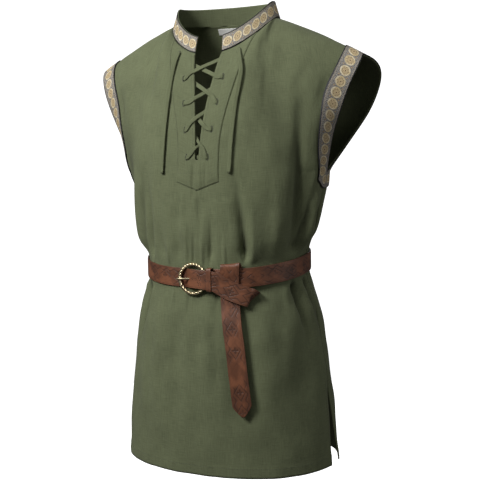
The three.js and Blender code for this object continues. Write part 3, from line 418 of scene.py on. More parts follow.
# A punched hole as a profile turned round its middle, and where the holes and the thick stitches lie on
# the strap's way up, as numbers of its rows
PUNCHED_PROFILE = table(
    "radius height",
    (0, -0.5),
    (0.8, -0.5),
    (1.3, -0.35),
    (1.6, 0.15),
    (2.0, 0.12),
    (2.4, -0.3),
)
PUNCHED_AT = (4.7, 5.75)
THICK_STITCHES_AT = (6.35, 6.85)
THICK_STITCH = {"spacing": 3.2, "long": 2.6, "thick": 1.1}

PRONG_ROUTE = table(
    "along out",
    (22.6, 0.4),
    (10, 0.3),
    (2, -0.5),
    (-3, -0.1),
    (-8, 1.2),
    (-13, 3.2),
    (-20, 5.9),
    (-27, 6.4),
    (-31.5, 5.6),
)

# The camera that was fitted to the photo, in degrees, millimetres and pixels of a picture 480 wide
CAMERA = {
    "turn": 25.34,
    "rise": 4.95,
    "roll": -0.95,
    "distance": 1859.6,
    "focal_px": 949.66,
    "aside": 19.5,
    "height": -419.7,
}
PHOTO_WIDTH = 480
SENSOR_MM = 36.0

# Soft lamps: degrees round the object and above level, and metres. They aim at one height.
LIGHTS = table(
    "turn rise distance size power",
    (-27, 34, 2.2, 0.75, 42),
    (92, 10, 2.6, 1.6, 8),
    (20, 62, 2.4, 0.9, 8),
    (200, 30, 2.4, 1.2, 9),
)
LIGHTS_AIM = -0.35
SKY_STRENGTH = 0.07


# Reading tables and curves


def smooth_step(at, low, high):
    """0 below low, 1 above high and 3t^2 - 2t^3 between them."""
    t = np.clip((at - low) / (high - low), 0, 1)
    return t * t * (3 - 2 * t)


def mix(first, second, share):
    return first + (second - first) * share


def hermite(start, start_slope, end, end_slope, t):
    """Cubic through two values with given slopes at both."""
    t2, t3 = t * t, t**3
    rise = 3 * t2 - 2 * t3
    return (1 - rise) * start + (t3 - 2 * t2 + t) * start_slope + rise * end + (t3 - t2) * end_slope


def read_table(rows, by, column, at):
    """One column read smoothly between rows, with slopes from each row's two neighbours."""
    x = np.array([row[by] for row in rows], float)
    y = np.array([row[column] for row in rows], float)
    k = np.arange(len(rows))
    before, after = np.maximum(k - 1, 0), np.minimum(k + 1, len(rows) - 1)
    slope = (y[after] - y[before]) / (x[after] - x[before])
    low = np.clip(np.searchsorted(x, at, side="left") - 1, 0, len(rows) - 2)
    span = x[low + 1] - x[low]
    t = np.clip((at - x[low]) / span, 0, 1)
    return hermite(y[low], slope[low] * span, y[low + 1], slope[low + 1] * span, t)


def unit(vectors):
    return vectors / np.maximum(np.linalg.norm(vectors, axis=-1, keepdims=True), 1e-9)


def curve_through(points, at, knot_power=0.5):
    """Catmull-Rom curve through points; at runs from 0 to the number of the last point. The knots are
    spaced by distance to the given power, and end tangents come from mirrored end points."""
    points = np.asarray(points, float)
    ends = np.vstack([2 * points[0] - points[1], points, 2 * points[-1] - points[-2]])
    low = np.clip(np.floor(at).astype(int), 0, len(points) - 2)
    t = (at - low)[:, None]
    p0, p1, p2, p3 = (ends[low + k] for k in range(4))
    d0, d1, d2 = (
        np.maximum(np.linalg.norm(b - a, axis=1), 1e-4)[:, None] ** knot_power
        for a, b in ((p0, p1), (p1, p2), (p2, p3))
    )
    start = ((p1 - p0) / d0 - (p2 - p0) / (d0 + d1) + (p2 - p1) / d1) * d1
    end = ((p2 - p1) / d1 - (p3 - p1) / (d1 + d2) + (p3 - p2) / d2) * d1
    return hermite(p1, start, p2, end, t)


def length_along(points):
    """Distance from the first point to each point of a line."""
    steps = np.linalg.norm(np.diff(points, axis=0), axis=1)
    return np.concatenate([[0], np.cumsum(steps)])


def respaced(points, count):
    """The same line with evenly spaced points."""
    along = length_along(points)
    at = np.linspace(0, along[-1], count)
    return np.stack([np.interp(at, along, points[:, axis]) for axis in range(points.shape[1])], axis=1)


# The body's cloth as a surface. Turn is the angle in degrees from the centre front towards the wearer's
# left; level is -1 at the hem, 0 at the armholes' lowest point and 1 at the neck and shoulder edge.


def ring_point(turn, height):
    """Superellipse section: reach = ((|sin| / half)^n + (|cos| / depth)^n)^(-1/n), sloped to the back."""
    turn, height = np.broadcast_arrays(np.asarray(turn, float), np.asarray(height, float))
    at = np.clip(height, HEM_HEIGHT, ARMPIT_HEIGHT)
    side, ahead = np.sin(np.radians(turn)), np.cos(np.radians(turn))
    half = read_table(SECTIONS, "height", "half", at)
    front = read_table(SECTIONS, "height", "front", at)
    back = read_table(SECTIONS, "height", "back", at)
    depth = np.where(ahead > 0, front, back)
    power = (np.abs(side) / half) ** SQUARENESS + (np.abs(ahead) / depth) ** SQUARENESS
    reach = power ** (-1 / SQUARENESS)
    y = -reach * ahead
    return np.stack([reach * side, y, height + read_table(SECTIONS, "height", "tilt", at) * y], axis=-1)


def outward(turn, height):
    """Level direction out of a section, square to the step from one degree before to one after."""
    step = ring_point(turn + 1, height) - ring_point(turn - 1, height)
    return unit(np.stack([step[..., 1], -step[..., 0], 0 * step[..., 0]], axis=-1))


def neck_point(angle):
    """Neck edge: an ellipse that dips as a power of the cosine. 0 is the centre front, 180 the back."""
    ahead = np.cos(np.radians(angle))
    depth = np.where(ahead > 0, NECK_FRONT, NECK_BACK)
    drop = np.where(ahead > 0, NECK_FRONT_DROP, NECK_BACK_DROP)
    x = NECK_HALF * np.sin(np.radians(angle))
    return np.stack([x, -depth * ahead, -drop * np.abs(ahead) ** NECK_DIP], axis=-1)


def panel_of(turn):
    """Front 1 or back -1, the angle from that panel's middle, and the side it lies on."""
    facing = np.where(turn <= 90, 1, -1)
    aside = np.where(facing > 0, turn, 180 - turn)
    return facing, np.abs(aside), np.where(aside < 0, -1, 1)


def top_point(turn):
    """The neck edge out to the side-neck point, then the shoulder line, which falls a little more
    steeply towards its tip."""
    facing, across, side = panel_of(turn)
    angle = 90 * np.minimum(across, NECK_TURN) / NECK_TURN
    neck = neck_point(np.where(facing > 0, angle, 180 - angle))
    neck[..., 0] *= side
    out = (across - NECK_TURN) / (90 - NECK_TURN)
    drop = SHOULDER_DROP * (0.75 * out + 0.25 * out * out)
    shoulder = np.stack([side * mix(NECK_HALF, SHOULDER_HALF, out), 0 * out, -drop], axis=-1)
    return np.where((across <= NECK_TURN)[..., None], neck, shoulder)


def pull(name, facing, side):
    """One named pull as vectors for the front or the back and for either side."""
    front, back = PULLS[name]
    out, ahead, up = (np.where(facing > 0, f, b) for f, b in zip(front, back))
    return np.stack([side * out, -facing * ahead, up + 0 * side], axis=-1).astype(float)


def column_pulls(turn):
    """Directions of a column of cloth at the armhole level and at the top edge, blended from the middle
    of the panel to the armhole's edge."""
    facing, across, side = panel_of(turn)
    rise = unit(ring_point(turn, ARMPIT_HEIGHT) - ring_point(turn, ARMPIT_HEIGHT - 2))
    edge = smooth_step(across, EDGE_TURN, 90)[..., None]
    turned = smooth_step(across, 0, NECK_TURN)[..., None]
    nape = smooth_step(across, NAPE["start"], NAPE["full"])
    nape = nape * smooth_step(-across, -NAPE["end"], -NAPE["fades"])
    bottom = mix(rise * CHEST_RISE, pull("armhole_bottom", facing, side), edge)
    top = mix(pull("neck", facing, side), pull("ridge", facing, side), turned)
    top = mix(top, pull("armhole_top", facing, side), edge)
    return bottom, top + pull("nape", facing, side) * nape[..., None]


def fold_depth(rows, turn, height, clear):
    """Sum of folds. Each is a raised cosine across, and rises and fades smoothly down its length. None
    reaches the belt."""
    depth = np.zeros(np.broadcast(turn, height).shape)
    for row in rows:
        down = (row["top"] - height) / (row["top"] - row["bottom"])
        middle = mix(row["top_turn"], row["bottom_turn"], down)
        apart = np.clip((turn - middle) * FOLD_MM_PER_DEGREE / row["half"], -1, 1)
        strength = smooth_step(down, 0, row["peak"]) * smooth_step(1 - down, 0, 1 - row["peak"])
        depth += row["depth"] * strength * (1 + np.cos(np.pi * apart)) / 2
    return depth * smooth_step(np.abs(height - BELT_HEIGHT), *clear)


def outline_turn(level):
    """The facing's edge as a turn, from its half width at the height of the plain cloth there."""
    height = plain_point(np.full(np.shape(level), 15.0), level)[..., 2]
    return read_table(FACING_OUTLINE, "height", "half", height) / chest_mm_per_degree(level)


def crease_depth(turn, level, height):
    """Small creases, slow waves, a seam line at the side and shoulder, hem folds 20 mm deep that stand
    0.5 mm proud, and puckers of the neck seam."""
    facing, across, _ = panel_of(turn)
    depth = fold_depth(CREASES, turn, height, CREASE_CLEAR)
    quiet = smooth_step(np.abs(height - BELT_HEIGHT), *WAVE_CLEAR)
    facing_clear = smooth_step(np.abs(turn), *FACING_QUIET) if np.all(turn <= 90) else 1
    facing_clear = np.where(height > FACING_POINT_HEIGHT - FACING_QUIET_BELOW, facing_clear, 1)
    for wave in WAVES:
        turned = np.radians(turn * wave["round"]) + height * wave["down"] / 100 + wave["phase"]
        drift = 1.3 * np.sin(height / 97 + wave["phase"]) + np.sin(np.radians(turn * 3) + wave["phase"])
        depth += wave["depth"] * np.sin(turned + drift) * quiet * facing_clear
    depth += HEM_PROUD * smooth_step(HEM_HEIGHT - height, -HEM_TOP[1], -HEM_TOP[0])
    near_seam = (90 - across) * FOLD_MM_PER_DEGREE
    side_seam = np.where(level <= 0, np.exp(-((near_seam / SEAM_SPREAD) ** 2)), 0)
    under_edge = (1 - level) * COLUMN_TALL
    on_shoulder = across > NECK_TURN
    shoulder_seam = np.where(on_shoulder, np.exp(-((under_edge / SEAM_SPREAD) ** 2)), 0)
    depth -= SEAM_SUNK * np.maximum(side_seam, shoulder_seam)
    beat = 2 * np.sin(np.radians(across * PUCKER["beat"]))
    pucker = PUCKER["depth"] * np.sin(np.radians(across * PUCKER["waves"]) + beat)
    front_neck = (across < NECK_TURN + PUCKER["past_neck"]) & (across > PUCKER["from_turn"])
    back_neck = (facing < 0) & (across < NECK_TURN)
    depth += np.where(front_neck | back_neck, pucker * np.exp(-under_edge / PUCKER["fades"]), 0)
    return depth


def fold_shade(turn, level):
    """How deep each point lies in a crease, from 0 to 1 at the crease depth of full shade: the share of
    painted shade that darkens the cloth's colour there.
    """
    height = plain_point(turn, level)[..., 2]
    return np.clip(-fold_depth(CREASES, turn, height, CREASE_CLEAR) / CREASE_FULL_SHADE_DEPTH, 0, 1)


def plain_point(turn, level, creased=False):
    """The cloth's outer face: sections below the armholes; above them cubic columns from the armhole
    level to the top edge. Folds push it out or in, level with the ground."""
    turn, level = np.broadcast_arrays(np.asarray(turn, float), np.asarray(level, float))
    height = mix(ARMPIT_HEIGHT, HEM_HEIGHT, np.maximum(-level, 0))
    start = ring_point(turn, np.full(turn.shape, float(ARMPIT_HEIGHT)))
    bottom, top = column_pulls(turn)
    raised = hermite(start, bottom, top_point(turn), top, np.maximum(level, 0)[..., None])
    low = (level <= 0)[..., None]
    point = np.where(low, ring_point(turn, height), raised)
    height = np.where(level <= 0, height, point[..., 2])
    depth = fold_depth(FOLDS, turn, height, BELT_CLEAR)
    if creased:
        depth = depth + crease_depth(turn, level, height)
    section = np.where(level <= 0, height, ARMPIT_HEIGHT)
    return point + outward(turn, section) * depth[..., None]


def cloth_point(turn, level):
    return plain_point(turn, level, creased=True)


def cloth_normal(turn, level, surface=cloth_point):
    """Direction out of the face, square to small steps along a row and up a column of one panel."""
    turn, level = np.broadcast_arrays(np.asarray(turn, float), np.asarray(level, float))
    low = np.where(turn <= 90, -90, 90)
    right = surface(np.minimum(turn + 1, low + 180), level)
    left = surface(np.maximum(turn - 1, low + np.where(turn <= 90, 0, 0.001)), level)
    up = surface(turn, np.minimum(level + 0.004, 1))
    down = surface(turn, np.maximum(level - 0.004, -1))
    return unit(np.cross(right - left, up - down))


def on_cloth(turn, level, lift, surface=cloth_point):
    """A place off the cloth's outer face, and the direction out of the cloth there."""
    normal = cloth_normal(turn, level, surface)
    return surface(turn, level) + normal * np.asarray(lift, float)[..., None], normal


def chest_mm_per_degree(level):
    """Millimetres across the middle of the chest for a degree of turn, from the armpits to the neck."""
    at_armpit = np.radians(SECTIONS[-1]["front"])
    at_neck = np.radians(NECK_HALF) * 90 / NECK_TURN
    return mix(at_armpit, at_neck, np.clip(level, 0, 1))


def slit_turn(level):
    """Half width of the neck slit as a turn: it opens as a power of the way up."""
    open_share = np.clip((level - SLIT_BOTTOM_LEVEL) / (1 - SLIT_BOTTOM_LEVEL), 0, 1)
    half = mix(SLIT_BOTTOM_HALF, SLIT_TOP_HALF, open_share**SLIT_CURVE)
    return np.where(level > SLIT_BOTTOM_LEVEL, half / chest_mm_per_degree(level), 0)


def chest_spot(x, height):
    """Turn and level of a place on the chest, found by stepping towards it."""
    x, height = np.broadcast_arrays(np.asarray(x, float), np.asarray(height, float))
    turn = x / chest_mm_per_degree(0.5)
    level = (height - ARMPIT_HEIGHT) / -ARMPIT_HEIGHT
    for _ in range(25):
        at = plain_point(turn, level)
        turn = turn + (x - at[..., 0]) / chest_mm_per_degree(level)
        level = level + (height - at[..., 2]) / 300
    return turn, level


# Meshes


def grid_faces(rows, columns, wraps=False):
    """Quads between neighbouring rows and columns of a grid, the last column joined to the first where
    the grid wraps round."""
    index = np.arange(rows * columns).reshape(rows, columns)
    if wraps:
        index = np.concatenate([index, index[:, :1]], axis=1)
    return index_faces(index).reshape(-1, 4)


def index_faces(index):
    """The quad of each cell of a grid of point numbers."""
    a, b, c, d = index[:-1, :-1], index[:-1, 1:], index[1:, 1:], index[1:, :-1]
    return np.stack([a, b, c, d], axis=-1)


def ring_faces(rows, columns):
    """Quads of a grid that wraps round both ways."""
    first = np.arange(columns)
    last = (rows - 1) * columns + first
    join = np.stack([last, np.roll(last, -1), np.roll(first, -1), first], axis=-1)
    return np.concatenate([grid_faces(rows, columns, wraps=True), join])


def cloth_uv(points):
    """Distances in millimetres along the rows and up the columns of a grid of points."""
    right = np.linalg.norm(np.diff(points, axis=1), axis=-1)
    up = np.linalg.norm(np.diff(points, axis=0), axis=-1)
    u = np.concatenate([np.zeros((points.shape[0], 1)), np.cumsum(right, axis=1)], axis=1)
    v = np.concatenate([np.zeros((1, points.shape[1])), np.cumsum(up, axis=0)], axis=0)
    return np.stack([u - u.mean(axis=1, keepdims=True), v], axis=-1)


def mesh_object(name, points, faces, finish):
    """A smooth mesh object at the origin from points in millimetres and faces."""
    points = np.asarray(points, float).reshape(-1, 3) * MM
    if isinstance(faces, np.ndarray):
        faces = faces.tolist()
    mesh = bpy.data.meshes.new(name)
    mesh.from_pydata(points.tolist(), [], faces)
    mesh.polygons.foreach_set("use_smooth", np.ones(len(mesh.polygons), bool))
    mesh.materials.append(finish)
    made = bpy.data.objects.new(name, mesh)
    bpy.context.scene.collection.objects.link(made)
    return made


def make_piece(name, points, faces, finish, uv=None, shades=None):
    """A piece of the tunic, with its own UV map in millimetres and an optional grey value for each point,
    which darkens its colour: painted shade in the cloth's creases, patina on the brass."""
    piece = mesh_object(name, points, faces, finish)
    mesh = piece.data
    if uv is not None:
        corner = np.empty(len(mesh.loops), np.int32)
        mesh.loops.foreach_get("vertex_index", corner)
        layer = mesh.uv_layers.new(name="UVMap")
        layer.data.foreach_set("uv", np.asarray(uv, float).reshape(-1, 2)[corner].ravel())
    if shades is not None:
        layer = mesh.attributes.new("crease_shade_and_patina", "FLOAT", "POINT")
        layer.data.foreach_set("value", np.asarray(shades, float).ravel())
    mesh.validate()
    mesh.update()
    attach(piece, "root")
    return piece


def thicken(piece, wall, even=True):
    """Gives a sheet its wall, inwards from its outer face."""
    solid = piece.modifiers.new("wall", "SOLIDIFY")
    solid.thickness = wall * MM
    solid.offset = -1
    solid.use_even_offset = even
    solid.use_rim = True
    return piece


def kept_points(points, uv, faces):
    """Drops the points that no face uses, and says which ones stay."""
    used, order = np.unique(faces, return_inverse=True)
    return points.reshape(-1, 3)[used], uv.reshape(-1, 2)[used], order.reshape(faces.shape), used


def joined(parts):
    """Several grids of points with their faces, as one list of each."""
    points, faces, count = [], [], 0
    for spots, quads in parts:
        points.append(spots.reshape(-1, 3))
        faces.append(quads + count)
        count += len(points[-1])
    return np.concatenate(points), np.concatenate(faces)


def declare_sheet(points, wide=None):
    """Measures a sheet's flat cut along its longest row and column, unless its width is given, and its area,
    but keeps none of them.
    """
    right = wide or np.linalg.norm(np.diff(points, axis=1), axis=-1).sum(axis=1).max()
    up = np.linalg.norm(np.diff(points, axis=0), axis=-1).sum(axis=0).max()
    diagonal = points[1:, 1:] - points[:-1, :-1]
    other = points[1:, :-1] - points[:-1, 1:]
    area = np.linalg.norm(np.cross(diagonal, other), axis=-1).sum() / 2
    flat = (right * MM, up * MM)
    area = min(area * MM * MM, flat[0] * flat[1])


def rounded_profile(half_width, half_thick, power, count=20):
    """Cross-section |x/w|^p + |z/t|^p = 1 as offsets across and out of the strap."""
    angle = 2 * np.pi * (np.arange(count) + 0.5) / count
    c, s = np.cos(angle), np.sin(angle)
    across = np.sign(c) * np.abs(c) ** (2 / power) * half_width
    out = np.sign(s) * np.abs(s) ** (2 / power) * half_thick
    return np.stack([across, out], axis=-1)


def sweep(middle, across, profile, widths=None, closed=False):
    """A profile carried along a line: the face is square to the line and to the width. Returns points,
    UV in millimetres (across, along) and faces with flat ends."""
    if closed:
        step = np.roll(middle, -1, axis=0) - np.roll(middle, 1, axis=0)
    else:
        step = np.gradient(middle, axis=0)
    along = unit(step)
    face = unit(np.cross(along, across))
    width = unit(np.cross(face, along))
    scale = np.ones(len(middle)) if widths is None else widths
    rows = (
        middle[:, None]
        + width[:, None] * (profile[None, :, :1] * scale[:, None, None])
        + face[:, None] * profile[None, :, 1:]
    )
    far = length_along(middle)
    uv = np.stack(np.broadcast_arrays(profile[None, :, 0] * scale[:, None], far[:, None]), axis=-1)
    if closed:
        return rows, uv, ring_faces(len(middle), len(profile)).tolist()
    return rows, uv, tube_faces(len(middle), len(profile))


def tube_faces(rows, columns):
    """Quads round a tube, with one flat face at each end."""
    faces = grid_faces(rows, columns, wraps=True).tolist()
    faces.append(list(range(columns))[::-1])
    faces.append(list(range((rows - 1) * columns, rows * columns)))
    return faces


def tidy_faces(piece):
    """Turns a closed mesh's faces outwards."""
    shape = bmesh.new()
    shape.from_mesh(piece.data)
    bmesh.ops.recalc_face_normals(shape, faces=shape.faces)
    shape.to_mesh(piece.data)
    shape.free()
    piece.data.update()
    return piece


def stitch_line(line, outs, spacing, long, thick):
    """Thread stitches along a line: each is a slim six-sided grain with pointed ends, a little flattened
    and with its tips sunk, laid on even steps of the line. Returns points and faces."""
    sides, flat, sunk, reach = 6, 0.7, 0.15, 0.5
    along = length_along(line)
    count = max(int(along[-1] / spacing), 1)
    at = (np.arange(count) + 0.5) * along[-1] / count

    def read(values, places):
        return np.stack([np.interp(places, along, values[:, k]) for k in range(3)], axis=1)

    middle = read(line, at)
    tangent = unit(read(line, at + reach) - read(line, at - reach))
    out = unit(read(outs, at))
    side = unit(np.cross(out, tangent))
    turn = np.radians(360 / sides * np.arange(sides))
    ring = np.stack([np.cos(turn), np.sin(turn) * flat], axis=1) * thick / 2
    grain = [[-long / 2, 0, -sunk]]
    grain += [[-long / 4, a, b] for a, b in ring] + [[long / 4, a, b] for a, b in ring]
    grain += [[long / 2, 0, -sunk]]
    grain = np.array(grain)
    points = (
        middle[:, None]
        + tangent[:, None] * grain[None, :, :1]
        + side[:, None] * grain[None, :, 1:2]
        + out[:, None] * grain[None, :, 2:]
    )
    faces, tip = [], 2 * sides + 1
    for k in range(sides):
        near, after = 1 + k, 1 + (k + 1) % sides
        faces.append([0, after, near, near])
        faces.append([near, after, after + sides, near + sides])
        faces.append([tip, near + sides, after + sides, after + sides])
    faces = np.array(faces)[None] + len(grain) * np.arange(count)[:, None, None]
    return points.reshape(-1, 3), faces.reshape(-1, 4)


def stitched(name, lines, finish, spacing, long, thick):
    """One object with the stitches of several lines, each given as points and directions out."""
    points, quads = joined([stitch_line(line, outs, spacing, long, thick) for line, outs in lines])
    faces = [face[:3] if face[2] == face[3] else face for face in quads.tolist()]
    return make_piece(name, points, faces, finish)


# Finishes


class Nodes:
    """Small helpers to wire one material's nodes."""

    def __init__(self, name, roughness, metallic=0.0, sheen=0.0):
        self.material = bpy.data.materials.new(name)
        self.material.use_nodes = True
        self.tree = self.material.node_tree
        self.shader = self.tree.nodes["Principled BSDF"]
        self.shader.inputs["Roughness"].default_value = roughness
        self.shader.inputs["Metallic"].default_value = metallic
        self.shader.inputs["Sheen Weight"].default_value = sheen

    def node(self, kind, **settings):
        made = self.tree.nodes.new(kind)
        for key, value in settings.items():
            setattr(made, key, value)
        return made

    def link(self, source, target):
        self.tree.links.new(source, target)

    def feed(self, socket, value):
        if hasattr(value, "links"):
            self.link(value, socket)
        else:
            socket.default_value = value

    def math(self, operation, first, second=0.0):
        made = self.node("ShaderNodeMath", operation=operation)
        for socket, value in zip(made.inputs, (first, second)):
            self.feed(socket, value)
        return made.outputs[0]

    def total(self, first, second):
        return self.math("ADD", first, second)

    def times(self, first, second):
        return self.math("MULTIPLY", first, second)

    def apart(self, value, at):
        """How far a value is from another."""
        return self.math("ABSOLUTE", self.math("SUBTRACT", value, at))

    def line(self, value, at, low, high):
        """1 where a value is nearer than low to another, fading to 0 at high."""
        return self.ramp(self.apart(value, at), low, high, 1, 0)

    def repeat(self, value, pitch):
        """Distance from the middle of each repeat of a pattern."""
        share = self.math("FRACT", self.math("DIVIDE", value, pitch))
        return self.math("SUBTRACT", self.times(share, pitch), pitch / 2)

    def radius(self, across, along):
        return self.math("SQRT", self.total(self.times(across, across), self.times(along, along)))

    def petals(self, across, along, folds, size):
        """Edge of a flower: size times |cos(folds * angle)|."""
        angle = self.math("ARCTAN2", across, along)
        return self.times(self.math("ABSOLUTE", self.math("COSINE", self.times(angle, folds))), size)

    def ramp(self, value, low, high, start=0.0, end=1.0):
        """Reads a value smoothly between low and high."""
        made = self.node("ShaderNodeMapRange", interpolation_type="SMOOTHSTEP")
        for socket, number in zip(made.inputs, (value, low, high, start, end)):
            self.feed(socket, number)
        return made.outputs[0]

    def blend(self, share, first, second):
        """Mixes two colours by a share."""
        made = self.node("ShaderNodeMix", data_type="RGBA")
        self.feed(made.inputs[0], share)
        for socket, value in ((made.inputs[6], first), (made.inputs[7], second)):
            self.feed(socket, value if hasattr(value, "links") else (*value, 1.0))
        return made.outputs[2]

    def noise(self, place, scale, detail=2.0, stretch=(1, 1, 1)):
        spread = self.node("ShaderNodeMapping")
        spread.inputs["Scale"].default_value = stretch
        self.link(place, spread.inputs["Vector"])
        made = self.node("ShaderNodeTexNoise")
        made.inputs["Scale"].default_value = scale
        made.inputs["Detail"].default_value = detail
        self.link(spread.outputs[0], made.inputs["Vector"])
        return made.outputs["Fac"]

    def crease_shade_and_patina(self):
        """The grey value of a piece's points, 0 where it has none: painted shade in the cloth's creases,
        patina on the brass.
        """
        return self.node("ShaderNodeAttribute", attribute_name="crease_shade_and_patina").outputs["Fac"]

    def place(self, name="UV"):
        return self.node("ShaderNodeTexCoord").outputs[name]

    def split(self, place):
        made = self.node("ShaderNodeSeparateXYZ")
        self.link(place, made.inputs[0])
        return made.outputs[0], made.outputs[1]

    def bump(self, height, strength, distance_mm, below=None):
        made = self.node("ShaderNodeBump")
        made.inputs["Strength"].default_value = strength
        made.inputs["Distance"].default_value = distance_mm * MM
        self.link(height, made.inputs["Height"])
        if below is not None:
            self.link(below, made.inputs["Normal"])
        return made.outputs[0]

    def finish(self, colour, normal=None, roughness=None):
        self.feed(self.shader.inputs["Base Color"], colour)
        if normal is not None:
            self.link(normal, self.shader.inputs["Normal"])
        if roughness is not None:
            self.link(roughness, self.shader.inputs["Roughness"])
        return self.material


def linear(colour, factor=1.0):
    """A colour picked as display values, in linear light and scaled."""
    colour = np.array(colour[:3], float)
    value = np.where(colour <= 0.04045, colour / 12.92, ((colour + 0.055) / 1.055) ** 2.4)
    return tuple(float(c) for c in np.clip(value * factor, 0, 1))


def cloth_finish(name, tone):
    """Plain-weave linen: two sets of threads as crossed waves 0.9 mm apart, thicker threads here and there,
    slow changes of tone, and painted shade: a darker tone down in the creases."""
    made = Nodes(name, 0.9, sheen=0.06)
    made.shader.inputs["Sheen Roughness"].default_value = 0.5
    made.shader.inputs["Specular IOR Level"].default_value = 0.25
    uv = made.place()
    u, v = made.split(uv)
    thread_pitch = 0.9
    warp = made.math("SINE", made.times(u, 2 * np.pi / thread_pitch))
    weft = made.math("SINE", made.times(v, 2 * np.pi / thread_pitch))
    weave = made.times(warp, weft)
    slub_along = made.noise(uv, 1.0, 2.0, (0.05, 0.9, 1))
    slub_up = made.noise(uv, 1.0, 2.0, (0.9, 0.04, 1))
    slubs = made.total(slub_along, slub_up)
    slow = made.noise(uv, 1.0, 3.0, (0.012, 0.02, 1))
    tone_share = made.ramp(made.total(made.times(slubs, 0.75), made.times(slow, 0.5)), 0.65, 1.35)
    colour = made.blend(tone_share, linear(tone, 0.82), linear(tone, 1.2))
    # Painted shade: down in the creases the colour is mixed towards a dark tone of the cloth, by up to 65%
    colour = made.blend(made.times(made.crease_shade_and_patina(), 0.65), colour, linear(tone, 0.3))
    height = made.total(made.times(weave, 0.3), slubs)
    crumple = made.noise(uv, 1.0, 3.0, (0.09, 0.05, 1))
    soft = made.bump(crumple, 0.35, 1.6)
    return made.finish(colour, made.bump(height, 0.5, 0.25, soft))


def leather_finish(name, tone):
    """Pulled leather with stamped ornament: a chain of lozenges with a four-petal flower in each, two
    scrolling lines and border lines, worn away here and there; darker in the stamp and at the edges."""
    pitch, lozenge_wide, lozenge_long, petal, vine_at, vine_swing = 38.0, 11.5, 17.0, 6.2, 11.2, 2.3
    border_at, edge_at = 15.2, (16.4, 17.4)
    made = Nodes(name, 0.5)
    made.shader.inputs["Coat Weight"].default_value = 0.08
    made.shader.inputs["Coat Roughness"].default_value = 0.35
    uv = made.place()
    u, v = made.split(uv)
    aside = made.math("ABSOLUTE", u)
    step = made.repeat(v, pitch)
    off = made.math("ABSOLUTE", step)
    lozenge = made.total(made.math("DIVIDE", aside, lozenge_wide), made.math("DIVIDE", off, lozenge_long))
    frame_line = made.line(lozenge, 0.9, 0.04, 0.12)
    flower = made.math("SUBTRACT", made.radius(u, step), made.petals(u, step, 2, petal))
    petal_line = made.ramp(flower, -0.6, 0.7, 1, 0)
    swing = made.math("SINE", made.times(v, 4 * np.pi / pitch))
    vine = made.total(made.times(swing, vine_swing), vine_at)
    vine_line = made.line(aside, vine, 0.7, 1.7)
    border = made.line(aside, border_at, 0.4, 1.0)
    stamp = made.math("MAXIMUM", made.math("MAXIMUM", frame_line, petal_line), vine_line)
    worn = made.ramp(made.noise(uv, 1.0, 2.0, (0.03, 0.022, 1)), 0.42, 0.54)
    stamp = made.times(stamp, made.total(made.times(worn, 0.85), 0.15))
    stamp = made.math("MAXIMUM", stamp, made.times(border, 0.5))
    grain = made.noise(uv, 1.0, 4.0, (0.8, 0.8, 1))
    blotch = made.noise(uv, 1.0, 3.0, (0.05, 0.035, 1))
    colour = made.blend(made.ramp(blotch, 0.35, 0.65), linear(tone, 0.78), linear(tone, 1.3))
    dark = linear((tone[0] * 0.62, tone[1] * 0.7, tone[2] * 0.9), 0.5)
    colour = made.blend(made.times(stamp, 0.55), colour, dark)
    colour = made.blend(made.ramp(worn, 0.2, 1.0, 0, 0.3), colour, dark)
    colour = made.blend(made.ramp(aside, *edge_at, 0, 0.6), colour, linear(tone, 0.4))
    height = made.math("SUBTRACT", made.times(grain, 0.35), stamp)
    rough = made.total(made.times(grain, 0.25), 0.36)
    return made.finish(colour, made.bump(height, 0.6, 0.5), rough)


